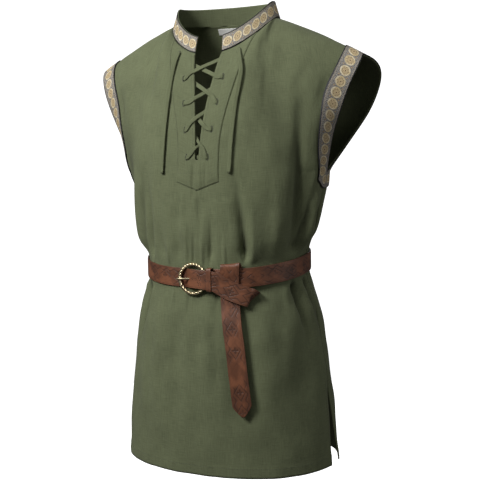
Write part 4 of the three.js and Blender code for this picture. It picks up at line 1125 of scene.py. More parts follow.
def trim_finish(name, width, pitch, disc):
    """Woven ribbon: a grey and silver speckled ground, a row of cream roundels, each a ring round an
    eight-petal rosette, small knots between them, and dark lines along both edges."""
    middle, disc_half = width / 2, disc / 2
    made = Nodes(name, 0.75)
    uv = made.place()
    u, v = made.split(uv)
    across = made.math("SUBTRACT", u, middle)
    aside = made.math("ABSOLUTE", across)
    step = made.repeat(v, pitch)
    radius = made.radius(across, step)
    grit = made.noise(uv, 1.0, 1.0, (0.8, 0.8, 1))
    fleck = made.ramp(made.noise(uv, 1.0, 1.0, (1.1, 1.1, 1)), 0.42, 0.58)
    ground = made.blend(fleck, linear((0.2, 0.2, 0.23)), linear((0.78, 0.76, 0.72)))
    inside = made.ramp(radius, disc_half - 0.5, disc_half + 0.3, 1, 0)
    ring = made.line(radius, disc_half - 1.4, 0.9, 1.6)
    rosette = made.total(made.petals(across, step, 4, disc_half * 0.34), disc_half * 0.3)
    petal_line = made.line(radius, rosette, 0.2, 0.9)
    heart = made.ramp(radius, disc_half * 0.06, disc_half * 0.16, 1, 0)
    warm = made.ramp(made.noise(uv, 1.0, 1.0, (0.09, 0.09, 1)), 0.4, 0.6)
    gold = made.blend(warm, linear((0.87, 0.79, 0.6)), linear((0.96, 0.91, 0.78)))
    figure = made.times(petal_line, 0.7)
    disc_colour = made.blend(figure, linear((0.86, 0.77, 0.6)), linear((0.34, 0.2, 0.1)))
    disc_colour = made.blend(heart, disc_colour, linear((0.3, 0.17, 0.09)))
    disc_colour = made.blend(ring, disc_colour, gold)
    colour = made.blend(inside, ground, disc_colour)
    between = made.math("SUBTRACT", pitch / 2, made.math("ABSOLUTE", step))
    knot = made.total(made.times(between, 1.4), made.apart(aside, disc_half * 0.82))
    knots = made.ramp(knot, 1.4, 2.4, 1, 0)
    colour = made.blend(made.times(knots, 0.8), colour, linear((0.76, 0.62, 0.42)))
    edge = made.ramp(aside, middle - 2.2, middle - 1.4)
    colour = made.blend(edge, colour, linear((0.1, 0.105, 0.13)))
    fine = made.line(aside, middle - 3.4, 0.3, 0.8)
    colour = made.blend(made.times(fine, 0.6), colour, linear((0.7, 0.64, 0.54)))
    colour = made.blend(made.ramp(grit, 0.35, 0.65, 0, 0.35), colour, linear((0.2, 0.17, 0.14)))
    raised = made.total(made.times(ring, 0.9), made.times(petal_line, 0.6))
    raised = made.total(raised, made.total(made.times(grit, 0.8), made.times(edge, 0.8)))
    rough = made.ramp(fleck, 0.0, 1.0, 0.8, 0.5)
    return made.finish(colour, made.bump(raised, 0.7, 0.45), rough)


def brass_finish(name, tone):
    """Antique brass: dark patina where the strands meet, and worn, brighter tops."""
    made = Nodes(name, 0.34, metallic=0.95)
    place = made.place("Object")
    spots = made.noise(place, 900.0, 3.0)
    share = made.total(made.crease_shade_and_patina(), made.times(made.math("SUBTRACT", spots, 0.5), 0.7))
    colour = made.blend(made.ramp(share, 0.18, 0.62), linear(tone), linear((0.1, 0.08, 0.055)))
    rough = made.ramp(share, 0.2, 0.9, 0.28, 0.65)
    return made.finish(colour, made.bump(spots, 0.25, 0.2), rough)


def label_finish(name, tone):
    """Bare woven satin label with fine cross ribs."""
    made = Nodes(name, 0.6)
    _, v = made.split(made.place())
    ribs = made.math("SINE", made.times(v, 2 * np.pi / 0.6))
    mottle = made.noise(made.place(), 1.0, 2.0, (0.3, 0.3, 1))
    colour = made.blend(made.ramp(mottle, 0.3, 0.7), linear(tone, 0.92), linear(tone))
    return made.finish(colour, made.bump(ribs, 0.2, 0.1))


def thread_finish(name, tone):
    """Sewing thread: fine twist lines across each stitch."""
    made = Nodes(name, 0.8, sheen=0.1)
    twist = made.noise(made.place("Object"), 2500.0, 1.0)
    colour = made.blend(made.ramp(twist, 0.3, 0.7), linear(tone, 0.7), linear(tone, 1.1))
    return made.finish(colour, made.bump(twist, 0.2, 0.1))


def studio_finish(name, tone):
    """Seamless paper, evenly pale, with the faintest mottle."""
    made = Nodes(name, 1.0)
    mottle = made.noise(made.place("Object"), 0.7, 1.0)
    colour = made.blend(mottle, linear(tone, 0.995), linear(tone))
    made.shader.inputs["Emission Strength"].default_value = 1.15
    made.link(colour, made.shader.inputs["Emission Color"])
    return made.finish(colour)


def finish_named(name, maker, *values):
    """The material of that name, made the first time that it is asked for."""
    return bpy.data.materials.get(name) or maker(name, *values)


def tunic_cloth():
    tones = bpy.context.scene.tunic_colours
    return finish_named("tunic_linen", cloth_finish, tuple(tones.cloth))


def belt_leather():
    tones = bpy.context.scene.tunic_colours
    return finish_named("belt_leather", leather_finish, tuple(tones.leather))


def buckle_brass():
    tones = bpy.context.scene.tunic_colours
    return finish_named("antique_brass", brass_finish, tuple(tones.brass))


def sewing_thread():
    tones = bpy.context.scene.tunic_colours
    return finish_named("sewing_thread", thread_finish, tuple(tones.thread))


# Settings


def length_setting(name, description, default):
    return FloatProperty(name=name, description=description, default=default, unit="LENGTH")


def colour_setting(name, description, default):
    return FloatVectorProperty(name=name, description=description, subtype="COLOR", size=3, default=default)


class TunicSizes(bpy.types.PropertyGroup):
    """Sizes of small parts of the tunic that a user may change"""

    stitch_spacing: length_setting("Stitch spacing", "Distance from one stitch to the next", 0.0034)
    stitch_length: length_setting("Stitch length", "Length of one stitch", 0.0024)
    thread_thickness: length_setting("Thread thickness", "Thickness of the sewing thread", 0.0007)
    lace_width: length_setting("Lace width", "Width of the flat tie in the neck slit", 0.0075)
    lace_end_width: length_setting("Lace end width", "Width of the tie's two free ends", 0.008)
    disc_pitch: length_setting("Roundel pitch", "Distance between the roundels of the trim", 0.021)
    disc_size: length_setting("Roundel size", "Diameter of a roundel of the trim", 0.0195)


class TunicColours(bpy.types.PropertyGroup):
    """Colours of the tunic that a user may change"""

    cloth: colour_setting("Cloth", "Green of the linen", (0.42, 0.445, 0.33))
    leather: colour_setting("Leather", "Brown of the belt", (0.48, 0.3, 0.205))
    brass: colour_setting("Brass", "Metal of the buckle", (0.5, 0.44, 0.31))
    label: colour_setting("Label", "White of the neck label", (0.9, 0.9, 0.88))
    thread: colour_setting("Thread", "Sewing thread of the cloth", (0.36, 0.38, 0.3))


class TunicOperator:
    """What the operators of all pieces share"""

    bl_options = {"REGISTER", "UNDO"}


# Body panels


def columns(fine_to, fine, coarse):
    """Angles from a panel's middle to its side, closer together as far as the lacing reaches."""
    return np.concatenate([np.linspace(0, fine_to, fine), np.linspace(fine_to, 90, coarse + 1)[1:]])


def panel_levels():
    """Rows from the hem to the top edge, with one exactly at the foot of the neck slit."""
    return np.concatenate([
        np.linspace(-1, 0, 131),
        np.linspace(0, SLIT_BOTTOM_LEVEL, 11)[1:],
        np.linspace(SLIT_BOTTOM_LEVEL, 1, 101)[1:],
    ])


def level_at(height):
    """Level of a height below the armholes."""
    return (height - ARMPIT_HEIGHT) / (ARMPIT_HEIGHT - HEM_HEIGHT)


def seam_edges(points, turn, level):
    """Leaves 0.06 mm at the side and shoulder seams, and swings the side slit's edges apart by up to
    18 mm at the hem. The swing grows over each panel's last 12 degrees."""
    facing, across, _ = panel_of(turn)
    slit_level = level_at(HEM_HEIGHT + SIDE_SLIT)
    below = np.clip((slit_level - level) / (1 + slit_level), 0, 1)
    near = smooth_step(across, 78, 90) ** 2
    shift = np.where(level <= 0, SIDE_SLIT_SPREAD * below * near, 0)
    gap = (across > 89.9) & (level <= 0) | (across > NECK_TURN - 0.1) & (level > 0.999)
    points[..., 1] -= facing * (shift + np.where(gap, 0.06, 0))
    return points


def lace_hole_mask(centres):
    """True for places inside the lace holes, each an upright ellipse just outside its lace."""
    inside = np.zeros(centres.shape[:-1], bool)
    for hole in LACE_HOLES:
        dx = (np.abs(centres[..., 0]) - hole["half"] - HOLE_ASIDE) / HOLE_CUT[0]
        dz = (centres[..., 2] - hole["height"]) / HOLE_CUT[1]
        inside |= (dx * dx + dz * dz < 1) & (centres[..., 1] < 0)
    return inside


def open_grid(points, middle, closed):
    """Faces of a grid in two halves: joined where closed is true, parted above that, and cut out at the
    lace holes."""
    index = np.arange(points[..., 0].size).reshape(points.shape[:2])
    index[closed, middle + 1] = index[closed, middle]
    keep = ~lace_hole_mask((points[:-1, :-1] + points[1:, 1:]) / 2)
    keep[:, middle] = False
    return index_faces(index)[keep]


class TUNIC_OT_front(TunicOperator, bpy.types.Operator):
    """Make the front panel with its neck slit, lace holes, folds and creases"""

    bl_idname = "tunic.front"
    bl_label = "Front panel"

    def execute(self, context):
        level = panel_levels()
        half = columns(27, 52, 38)
        side = np.concatenate([-half[::-1], half])
        sign = np.concatenate([-np.ones(len(half)), np.ones(len(half))])
        pushed = slit_turn(level)[:, None] * np.maximum(1 - np.abs(side) / NECK_TURN, 0)
        turn = side + sign * pushed
        rows = np.broadcast_to(level[:, None], turn.shape)
        points = seam_edges(cloth_point(turn, rows), turn, rows)
        faces = open_grid(points, len(half) - 1, level <= SLIT_BOTTOM_LEVEL + 1e-6)
        spots, uv, faces, used = kept_points(points, cloth_uv(points), faces)
        # Painted shade: how deep each point lies in a crease, kept on the points to darken the cloth's colour
        shade = fold_shade(turn, rows).ravel()[used]
        piece = make_piece("front_cloth", spots, faces, tunic_cloth(), uv=uv, shades=shade)
        thicken(piece, WALL)
        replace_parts(piece, "front_panel")
        declare_sheet(points)
        return {"FINISHED"}


class TUNIC_OT_back(TunicOperator, bpy.types.Operator):
    """Make the back panel with its folds and creases"""

    bl_idname = "tunic.back"
    bl_label = "Back panel"

    def execute(self, context):
        level = panel_levels()
        half = columns(40, 31, 40)
        turn = np.concatenate([180 - half[::-1], 180 + half[1:]])
        turn = np.maximum(turn, BACK_EDGE)[None, :]
        rows = np.broadcast_to(level[:, None], (len(level), turn.shape[1]))
        turn = np.broadcast_to(turn, rows.shape)
        points = seam_edges(cloth_point(turn, rows), turn, rows)
        faces = grid_faces(*rows.shape)
        # Painted shade: how deep each point lies in a crease, kept on the points to darken the cloth's colour
        shade = fold_shade(turn, rows)
        piece = make_piece("back_cloth", points, faces, tunic_cloth(), uv=cloth_uv(points), shades=shade)
        thicken(piece, WALL)
        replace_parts(piece, "back_panel")
        declare_sheet(points)
        return {"FINISHED"}


# Collar


def collar_rows(low, high, lift):
    """A strip that leans in round the neck edge, from the slit's left side round the back to its right
    side. Its top edge waves by under a millimetre."""
    start = float(slit_turn(1.0) * 90 / NECK_TURN)
    angle = np.linspace(start, 360 - start, 281)[None, :]
    height = np.linspace(low, high, COLLAR_ROWS)[:, None]
    angle, height = np.broadcast_arrays(angle, height)
    mirrored = np.where(angle > 180, 360 - angle, angle)
    base = neck_point(mirrored)
    base[..., 0] *= np.where(angle > 180, -1, 1)
    a = np.radians(angle)
    out = unit(np.stack([np.sin(a) / NECK_HALF, -np.cos(a) / NECK_FRONT, 0 * a], axis=-1))
    rise = np.array([0, 0, 1.0])
    up = unit(rise - COLLAR_LEAN * out)
    normal = unit(out + COLLAR_LEAN * rise)
    wave = 0.5 * np.sin(3 * a + 0.7) + 0.35 * np.sin(7 * a + 2)
    off = lift + wave * height / COLLAR_HEIGHT
    return base + up * height[..., None] + normal * off[..., None], normal


class TUNIC_OT_collar(TunicOperator, bpy.types.Operator):
    """Make the standing collar band and the woven trim sewn on its outside"""

    bl_idname = "tunic.collar"
    bl_label = "Collar and its trim"

    def execute(self, context):
        sizes = context.scene.tunic_sizes
        points, _ = collar_rows(COLLAR_UNDER, COLLAR_HEIGHT, 0.0)
        shape = points.shape[:2]
        band = make_piece("collar_cloth", points, grid_faces(*shape), tunic_cloth(), uv=cloth_uv(points))
        thicken(band, WALL)
        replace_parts(band, "collar_band")
        declare_sheet(points)
        low, high = SEAM_GAP + COLLAR_TRIM_INSET, COLLAR_HEIGHT - COLLAR_TRIM_INSET
        points, _ = collar_rows(low, high, TRIM_LIFT)
        tape = high - low
        along = length_along(points[len(points) // 2])[None, :]
        uv = np.stack(np.broadcast_arrays(np.linspace(0, tape, COLLAR_ROWS)[:, None], along), axis=-1)
        pitch, disc = (size / MM * COLLAR_DISC_SHARE for size in (sizes.disc_pitch, sizes.disc_size))
        finish = finish_named("collar_ribbon", trim_finish, tape, pitch, disc)
        trim = make_piece("collar_ribbon", points, grid_faces(*shape), finish, uv=uv)
        thicken(trim, TRIM_WALL)
        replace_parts(trim, "collar_trim")
        declare_sheet(points)
        return {"FINISHED"}


# Facing


def facing_half(side, count=34):
    """Grid of one half of the facing, from the slit's edge to the outline, and from its pointed foot to
    the neck. Its outer edge is turned under: a rounded roll 4 mm wide that ends at the cloth."""
    share = np.linspace(0, 1, count)
    share = 1 - (1 - share) ** 1.6
    low_turn = float(outline_turn(np.array(SLIT_BOTTOM_LEVEL)))
    down = np.linspace(0, 1, FOOT_ROWS)[:-1, None]
    low_turns = np.broadcast_to(low_turn * share, (len(down), count))
    bottom = mix(FACING_POINT_HEIGHT, FACING_CORNER_HEIGHT, share)[None, :]
    goal = mix(bottom, plain_point(low_turns, SLIT_BOTTOM_LEVEL)[..., 2], down)
    low_levels = np.full(low_turns.shape, SLIT_BOTTOM_LEVEL)
    for _ in range(25):
        low_levels = low_levels + (goal - plain_point(low_turns, low_levels)[..., 2]) / 400
    level = np.linspace(SLIT_BOTTOM_LEVEL, FACING_TOP_LEVEL, 100)[:, None]
    inner = np.where(level > SLIT_BOTTOM_LEVEL + 1e-6, slit_turn(level), 0)
    turns = mix(inner, outline_turn(level), share[None, :])
    levels = np.broadcast_to(level, turns.shape)
    turn = side * np.concatenate([low_turns, turns])
    level = np.concatenate([low_levels, levels])
    mm_per_degree, mm_up_rows = 2.5, 60
    edge_far = (1 - np.broadcast_to(share, turn.shape)) * np.abs(turn[:, -1:]) * mm_per_degree
    foot_far = np.linspace(0, mm_up_rows, len(turn))[:, None] * np.ones(count)
    far = np.minimum(edge_far, foot_far)
    roll = EDGE_ROLL["proud"] * np.exp(-(((far - EDGE_ROLL["at"]) / EDGE_ROLL["wide"]) ** 2))
    roll = roll - EDGE_ROLL["drop"] * (1 - smooth_step(far, 0, EDGE_ROLL["edge"]))
    points, _ = on_cloth(turn, level, FACING_LIFT + 0.1 + roll)
    return points if side > 0 else points[:, ::-1]


class TUNIC_OT_facing(TunicOperator, bpy.types.Operator):
    """Make the pointed facing sewn flat round the neck slit, with worked edges on its lace holes"""

    bl_idname = "tunic.facing"
    bl_label = "Slit facing"

    def execute(self, context):
        right, left = facing_half(-1), facing_half(1)
        points = np.concatenate([right, left], axis=1)
        faces = open_grid(points, right.shape[1] - 1, slice(FOOT_ROWS))
        spots, uv, faces, _ = kept_points(points, cloth_uv(points), faces)
        piece = make_piece("facing_cloth", spots, faces, tunic_cloth(), uv=uv)
        thicken(piece, FACING_WALL)
        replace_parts(piece, "placket_facing")
        declare_sheet(points)
        self.hole_edges()
        return {"FINISHED"}

    def hole_edges(self):
        """Rings of close stitches: an ellipse whose thickness ripples once for each stitch."""
        around = np.linspace(0, 2 * np.pi, 105)[:-1, None]
        small = np.linspace(0, 2 * np.pi, 9)[None, :-1]
        thick = HOLE_EDGE["thick"] + HOLE_EDGE["ripple"] * np.cos(HOLE_EDGE["stitches"] * around)
        wide = (HOLE_EDGE["half_wide"] + thick * np.cos(small)) * np.cos(around)
        tall = (HOLE_EDGE["half_tall"] + thick * np.cos(small)) * np.sin(around)
        lift = FACING_LIFT + 0.2 + 0.8 * thick * np.sin(small)
        rings = []
        for hole in LACE_HOLES:
            for side in (-1, 1):
                turn, level = chest_spot(side * (hole["half"] + HOLE_ASIDE) + wide, hole["height"] + tall)
                ring, _ = on_cloth(turn, level, lift, plain_point)
                rings.append((ring, ring_faces(*ring.shape[:2])))
        points, faces = joined(rings)
        piece = make_piece("lace_hole_edges", points, faces, sewing_thread())
        tidy_faces(piece)


# Armhole trims


def trim_turn(facing, level):
    """Width of the armhole trim as a turn, wider where the edge slants across the rows."""
    edge = 90.0 if facing > 0 else BACK_EDGE
    at = plain_point(edge, level)
    beside = plain_point(edge - facing, level) - at
    above = plain_point(edge, np.minimum(level + 0.02, 1))
    along = above - plain_point(edge, np.maximum(level - 0.02, 0))
    slant = np.linalg.norm(np.cross(unit(beside), unit(along)), axis=-1)
    return TRIM_WIDTH / np.maximum(slant, 0.75) / np.linalg.norm(beside, axis=-1)


def armhole_strip(side):
    """One strip from the shoulder tip down the front edge, round an ellipse below the armpit and up the
    back edge. u runs across it and v along its middle."""
    q = np.linspace(0, 1, 15)[None, :]
    level = np.linspace(1, 0, 90)[:, None]
    around = np.linspace(0, np.pi, 45)[1:-1, None]
    front = 90 - trim_turn(1, level) * q
    back = BACK_EDGE + trim_turn(-1, level[::-1]) * q
    in_front = around < np.pi / 2
    under_width = np.where(in_front, trim_turn(1, 0.0), trim_turn(-1, 0.0))
    under = np.where(in_front, 90 - 0.001, BACK_EDGE) - under_width * q * np.cos(around)
    under_level = level_at(ARMPIT_HEIGHT - TRIM_BELOW * q * np.sin(around))
    turn = np.concatenate([front, under, back])
    levels = np.concatenate([level + 0 * q, under_level, level[::-1] + 0 * q])
    lift = np.concatenate([0 * front, 0.8 * np.sin(around) * q, 0 * back]) + TRIM_LIFT + 0.15
    if side < 0:
        turn = np.where(turn <= 90, -turn, 360 - turn)
    points, _ = on_cloth(turn, levels, lift)
    along = length_along(points[:, points.shape[1] // 2])[:, None]
    uv = np.stack(np.broadcast_arrays(TRIM_WIDTH * q, along), axis=-1)
    if side < 0:
        points, uv = points[:, ::-1], uv[:, ::-1]
    return points[::-1], uv[::-1]


class TUNIC_OT_armholes(TunicOperator, bpy.types.Operator):
    """Make the woven trims that run round both armholes on the outside"""

    bl_idname = "tunic.armholes"
    bl_label = "Armhole trims"

    def execute(self, context):
        sizes = context.scene.tunic_sizes
        pitch, disc = (size / MM for size in (sizes.disc_pitch, sizes.disc_size))
        finish = finish_named("armhole_ribbon", trim_finish, TRIM_WIDTH, pitch, disc)
        for side, word in ((1, "left"), (-1, "right")):
            points, uv = armhole_strip(side)
            piece = make_piece(f"armhole_ribbon_{word}", points, grid_faces(*points.shape[:2]), finish, uv=uv)
            thicken(piece, TRIM_WALL, even=False)
            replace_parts(piece, f"armhole_trim_{word}")
            declare_sheet(points, wide=TRIM_WIDTH)
        return {"FINISHED"}


class TUNIC_OT_label(TunicOperator, bpy.types.Operator):
    """Make the small bare label inside the back of the neck"""

    bl_idname = "tunic.label"
    bl_label = "Neck label"

    def execute(self, context):
        finish = finish_named("label_satin", label_finish, tuple(context.scene.tunic_colours.label))
        level = np.linspace(*LABEL_LEVELS, 10)[:, None]
        turn = np.linspace(LABEL_TURN - LABEL_HALF_TURN, LABEL_TURN + LABEL_HALF_TURN, 22)[None, :]
        lift = -(WALL + 4 * SEAM_GAP) - 0.25 * np.sin(level * 60) * np.cos(np.radians(turn * 9))
        points, _ = on_cloth(turn, level, lift)
        piece = make_piece("label", points, grid_faces(*points.shape[:2]), finish, uv=cloth_uv(points))
        thicken(piece, LABEL_WALL)
        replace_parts(piece, "neck_label")
        declare_sheet(points)
        return {"FINISHED"}


# Lacing

LACE_IN = -(WALL + SEAM_GAP + LACE_THICK / 2 + 0.6)
LACE_OUT = FACING_LIFT + SEAM_GAP + LACE_THICK / 2 + 0.5


def lace_rows(start_side, over, width):
    """Middle, direction across and width of one half of the tie: out of each hole, up over the slit and
    behind its far edge to the next hole. It is squeezed in the narrow foot of the slit. Each hole's
    spots lie on a half turn about the cloth."""
    rows = []

    def add(x, height, lift, lean=0.0, wide=width):
        turn, level = chest_spot(x, height)
        middle, normal = on_cloth(turn, level, lift, plain_point)
        across = np.array([lean, 0, 1.0])
        rows.append((middle, unit(across - normal * (across @ normal)), wide))

    bend, middle_lift = (LACE_OUT - LACE_IN) / 2, (LACE_OUT + LACE_IN) / 2

    def come_out(side, hole, last):
        for angle in (-90, -35, 33) if last else (-90, -35, 35, 90):
            out = bend * np.cos(np.radians(angle))
            add(side * (hole["half"] + out), hole["height"], middle_lift + bend * np.sin(np.radians(angle)))

    side = start_side
    add(side * (LACE_HOLES[0]["half"] - LACE_START_INSET), LACE_HOLES[0]["height"], LACE_IN)
    for k, (hole, following) in enumerate(zip(LACE_HOLES[:-1], LACE_HOLES[1:])):
        come_out(side, hole, False)
        x0, x1 = side * hole["half"], -side * following["half"]
        slope = (following["height"] - hole["height"]) / (x1 - x0)
        base = hole["height"] + over * LACE_APART + (LACE_FIRST_RAISED if k == 0 else 0)
        _, gap_level = chest_spot(0.0, base - slope * x0)
        gap = float(slit_turn(gap_level) * chest_mm_per_degree(gap_level))
        narrow = width * (LACE_SQUEEZE if k == 0 else 1)
        spots = (
            (side * mix(hole["half"], gap, 0.5), LACE_OUT, width),
            (side * (gap - LACE_BEFORE_EDGE), LACE_OUT, narrow),
            (0.0, CROSSING_LIFT[over], narrow),
            (side * (LACE_BEHIND_EDGE - gap), LACE_IN, narrow),
            (-side * mix(gap, following["half"], 0.6), LACE_IN, width),
        )
        for x, lift, wide in spots:
            add(x, base + slope * (x - x0), lift, -slope, wide)
        side = -side
    come_out(side, LACE_HOLES[-1], True)
    return rows


def tie_piece(name, rows, steps, thick, nodes):
    """A soft flat tie through control rows: rounded section, with its seam as a shallow groove along
    the middle of the face."""
    at = np.linspace(0, len(rows) - 1, (len(rows) - 1) * steps + 1)
    middle = curve_through([row[0] for row in rows], at)
    across = curve_through([row[1] for row in rows], at, 0.0)
    widths = np.interp(at, np.arange(len(rows)), [row[2] for row in rows])
    profile = rounded_profile(0.5, thick / 2, 2.6, 24)
    groove = np.exp(-((profile[:, 0] / 0.12) ** 2)) * 0.28 * np.sign(profile[:, 1])
    profile[:, 1] -= groove
    points, uv, faces = sweep(middle, across, profile, widths)
    piece = tidy_faces(make_piece(name, points, faces, tunic_cloth(), uv=uv))
    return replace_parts(piece, *nodes)


class TUNIC_OT_lacing(TunicOperator, bpy.types.Operator):
    """Make the lacing that is held by the holes: the two crossing halves and the bar at the bottom"""

    bl_idname = "tunic.lacing"
    bl_label = "Lacing"

    def execute(self, context):
        width = context.scene.tunic_sizes.lace_width / MM
        for side, word in ((1, "over"), (-1, "under")):
            rows = lace_rows(side, side, width)
            tie_piece(f"lacing_{word}", rows, 6, LACE_THICK + 0.3, [f"lace_strand_{word}"])
        half = LACE_HOLES[0]["half"] - LACE_START_INSET - SEAM_GAP
        rows = []
        for x in np.linspace(-half, half, 5):
            turn, level = chest_spot(x, float(LACE_HOLES[0]["height"]))
            middle, _ = on_cloth(turn, level, LACE_IN, plain_point)
            rows.append((middle, np.array([0, 0, 1.0]), width))
        tie_piece("lacing_bar", rows, 4, LACE_THICK, ["lace_bar"])
        return {"FINISHED"}


class TUNIC_OT_lace_ends(TunicOperator, bpy.types.Operator):
    """Make the tie's two free ends, which hang from the top holes and twist a little on the way"""

    bl_idname = "tunic.lace_ends"
    bl_label = "Free lace ends"

    def execute(self, context):
        width = context.scene.tunic_sizes.lace_end_width / MM
        most_twist, twist_end = 14, 5.5
        for word, route in (("right", LACE_END_RIGHT), ("left", LACE_END_LEFT)):
            x, height, lift = (np.array([row[c] for row in route], float) for c in ("x", "height", "lift"))
            turn, level = chest_spot(x, height)
            spots, _ = on_cloth(turn, level, lift, plain_point)
            fine = curve_through(spots, np.linspace(0, len(spots) - 1, 400))
            middle = respaced(fine, 61)
            turn, level = chest_spot(middle[:, 0], middle[:, 2])
            out = cloth_normal(turn, level, plain_point)
            along = unit(np.gradient(middle, axis=0))
            out = unit(out - along * (out * along).sum(axis=1, keepdims=True))
            twist = np.radians(most_twist * np.sin(np.linspace(0, twist_end, len(middle))))[:, None]
            across = np.cross(along, out) * np.cos(twist) + out * np.sin(twist)
            ends = np.minimum(np.arange(len(middle)), np.arange(len(middle))[::-1])
            widths = width * (1 - 0.12 * np.exp(-ends / 1.5))
            profile = rounded_profile(0.5, LACE_END_THICK / 2, 2.4, 24)
            groove = np.exp(-((profile[:, 0] / 0.1) ** 2)) * 0.7
            profile[:, 1] -= groove * np.sign(profile[:, 1])
            points, uv, faces = sweep(middle, across, profile, widths)
            piece = tidy_faces(make_piece(f"lace_tail_{word}", points, faces, tunic_cloth(), uv=uv))
            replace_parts(piece, f"lace_end_{word}")
        return {"FINISHED"}


# Belt


def waist_frame(turn, up, lift):
    """A point off the waist, with the directions out, along the belt and up the body's slope."""
    height = BELT_HEIGHT + up
    out = outward(turn, height)
    along = np.stack([-out[..., 1], out[..., 0], 0 * out[..., 0]], axis=-1)
    slope = unit(ring_point(turn, height + 1) - ring_point(turn, height - 1))
    upright = unit(slope - along * (slope * along).sum(axis=-1, keepdims=True))
    return ring_point(turn, height) + out * np.asarray(lift, float)[..., None], out, along, upright


def strap_rows(rows):
    """Middles and directions across for rows of turn, up, lift and lean from upright."""
    names = ("turn", "up", "lift", "across")
    turn, up, lift, lean = (np.array([row[name] for row in rows], float) for name in names)
    middle, _, along, upright = waist_frame(turn, up, lift)
    angle = np.radians(lean)[:, None]
    return middle, along * np.sin(angle) + upright * np.cos(angle)


def strap_line(rows, steps):
    middle, across = strap_rows(rows)
    at = np.linspace(0, len(rows) - 1, (len(rows) - 1) * steps + 1)
    return curve_through(middle, at), unit(curve_through(across, at, 0.0))


def run_up_frame(at):
    """A place on the strap's way up to its fold, at a number of its rows, with the directions along it,
    across it and out of its face."""
    middle, across = strap_rows(RUN_UP)
    spot, ahead = curve_through(middle, np.array([at, at + 0.05]))
    wide = unit(curve_through(across, np.array([at]), 0.0)[0])
    along = unit(ahead - spot)
    return spot, along, wide, unit(np.cross(along, wide))


def strap_piece(name, middle, across, nodes, widths=None, far=0.0):
    """A strap with softly rounded edges and a slight crown."""
    profile = rounded_profile(BELT_WIDTH / 2, BELT_THICK / 2, 7, 44)
    points, uv, faces = sweep(middle, across, profile, widths)
    uv = uv + np.array([0, far])
    piece = tidy_faces(make_piece(name, points, faces, belt_leather(), uv=uv))
    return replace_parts(piece, *nodes)


class TUNIC_OT_belt(TunicOperator, bpy.types.Operator):
    """Make the leather strap round the waist, up through the ring and slanting to its fold"""

    bl_idname = "tunic.belt"
    bl_label = "Belt strap"

    def execute(self, context):
        turn = np.linspace(7, RUN_UP[0]["turn"], 330)[:-1]
        middle, _, _, upright = waist_frame(turn, 0.0, read_table(WAIST_LIFTS, "turn", "lift", turn))
        front, lean = strap_line(RUN_UP, 9)
        strap_piece("belt_round", np.vstack([middle, front]), np.vstack([upright, lean]), ["belt_strap"])
        self.punched_holes()
        return {"FINISHED"}

    def punched_holes(self):
        """Two punched holes beside the prong: shallow dished discs with a pressed rim, as profiles turned
        round their middles. They are painted dark as the shade down in the holes."""
        radius, height = (np.array([row[name] for row in PUNCHED_PROFILE]) for name in ("radius", "height"))
        around = np.radians(np.arange(0, 360, 15))[:, None]
        holes = []
        for at in PUNCHED_AT:
            spot, along, wide, face = run_up_frame(at)
            ring = (
                spot
                + face * (BELT_THICK / 2 + height + 0 * around)[..., None]
                + along * (radius * np.cos(around))[..., None]
                + wide * (radius * np.sin(around))[..., None]
            )
            ring = np.swapaxes(ring, 0, 1)
            holes.append((ring, grid_faces(*ring.shape[:2], wraps=True)[:, ::-1]))
        points, faces = joined(holes)
        # Painted shade: the discs take a third of the leather's tone, for the shade inside the holes
        tone = tuple(c * 0.35 for c in bpy.context.scene.tunic_colours.leather)
        finish = finish_named("punched_leather", thread_finish, tone)
        make_piece("belt_punched_holes", points, faces, finish)


class TUNIC_OT_knot(TunicOperator, bpy.types.Operator):
    """Make the strap's loop up behind the belt and over it, and the tail that hangs from it"""

    bl_idname = "tunic.knot"
    bl_label = "Belt knot and tail"

    def execute(self, context):
        middle, across = strap_line(KNOT, 9)
        strap_piece("belt_loop", middle, across, ["belt_knot"], far=40)
        middle, across = strap_line(TAIL, 14)
        along = length_along(middle)
        left = (1 - along / along[-1]) / TAIL_POINT
        widths = np.minimum(1, 0.1 + 0.95 * np.clip(left, 0, 1) ** 0.8)
        strap_piece("belt_end", middle, across, ["belt_tail"], widths, far=95)
        return {"FINISHED"}


def ring_basis():
    """Middle of the ring and its directions along the belt, up and out."""
    middle, out, along, _ = waist_frame(np.array(float(RING_TURN)), -1.0, float(RING_LIFT))
    return middle, along, np.cross(out, along), out


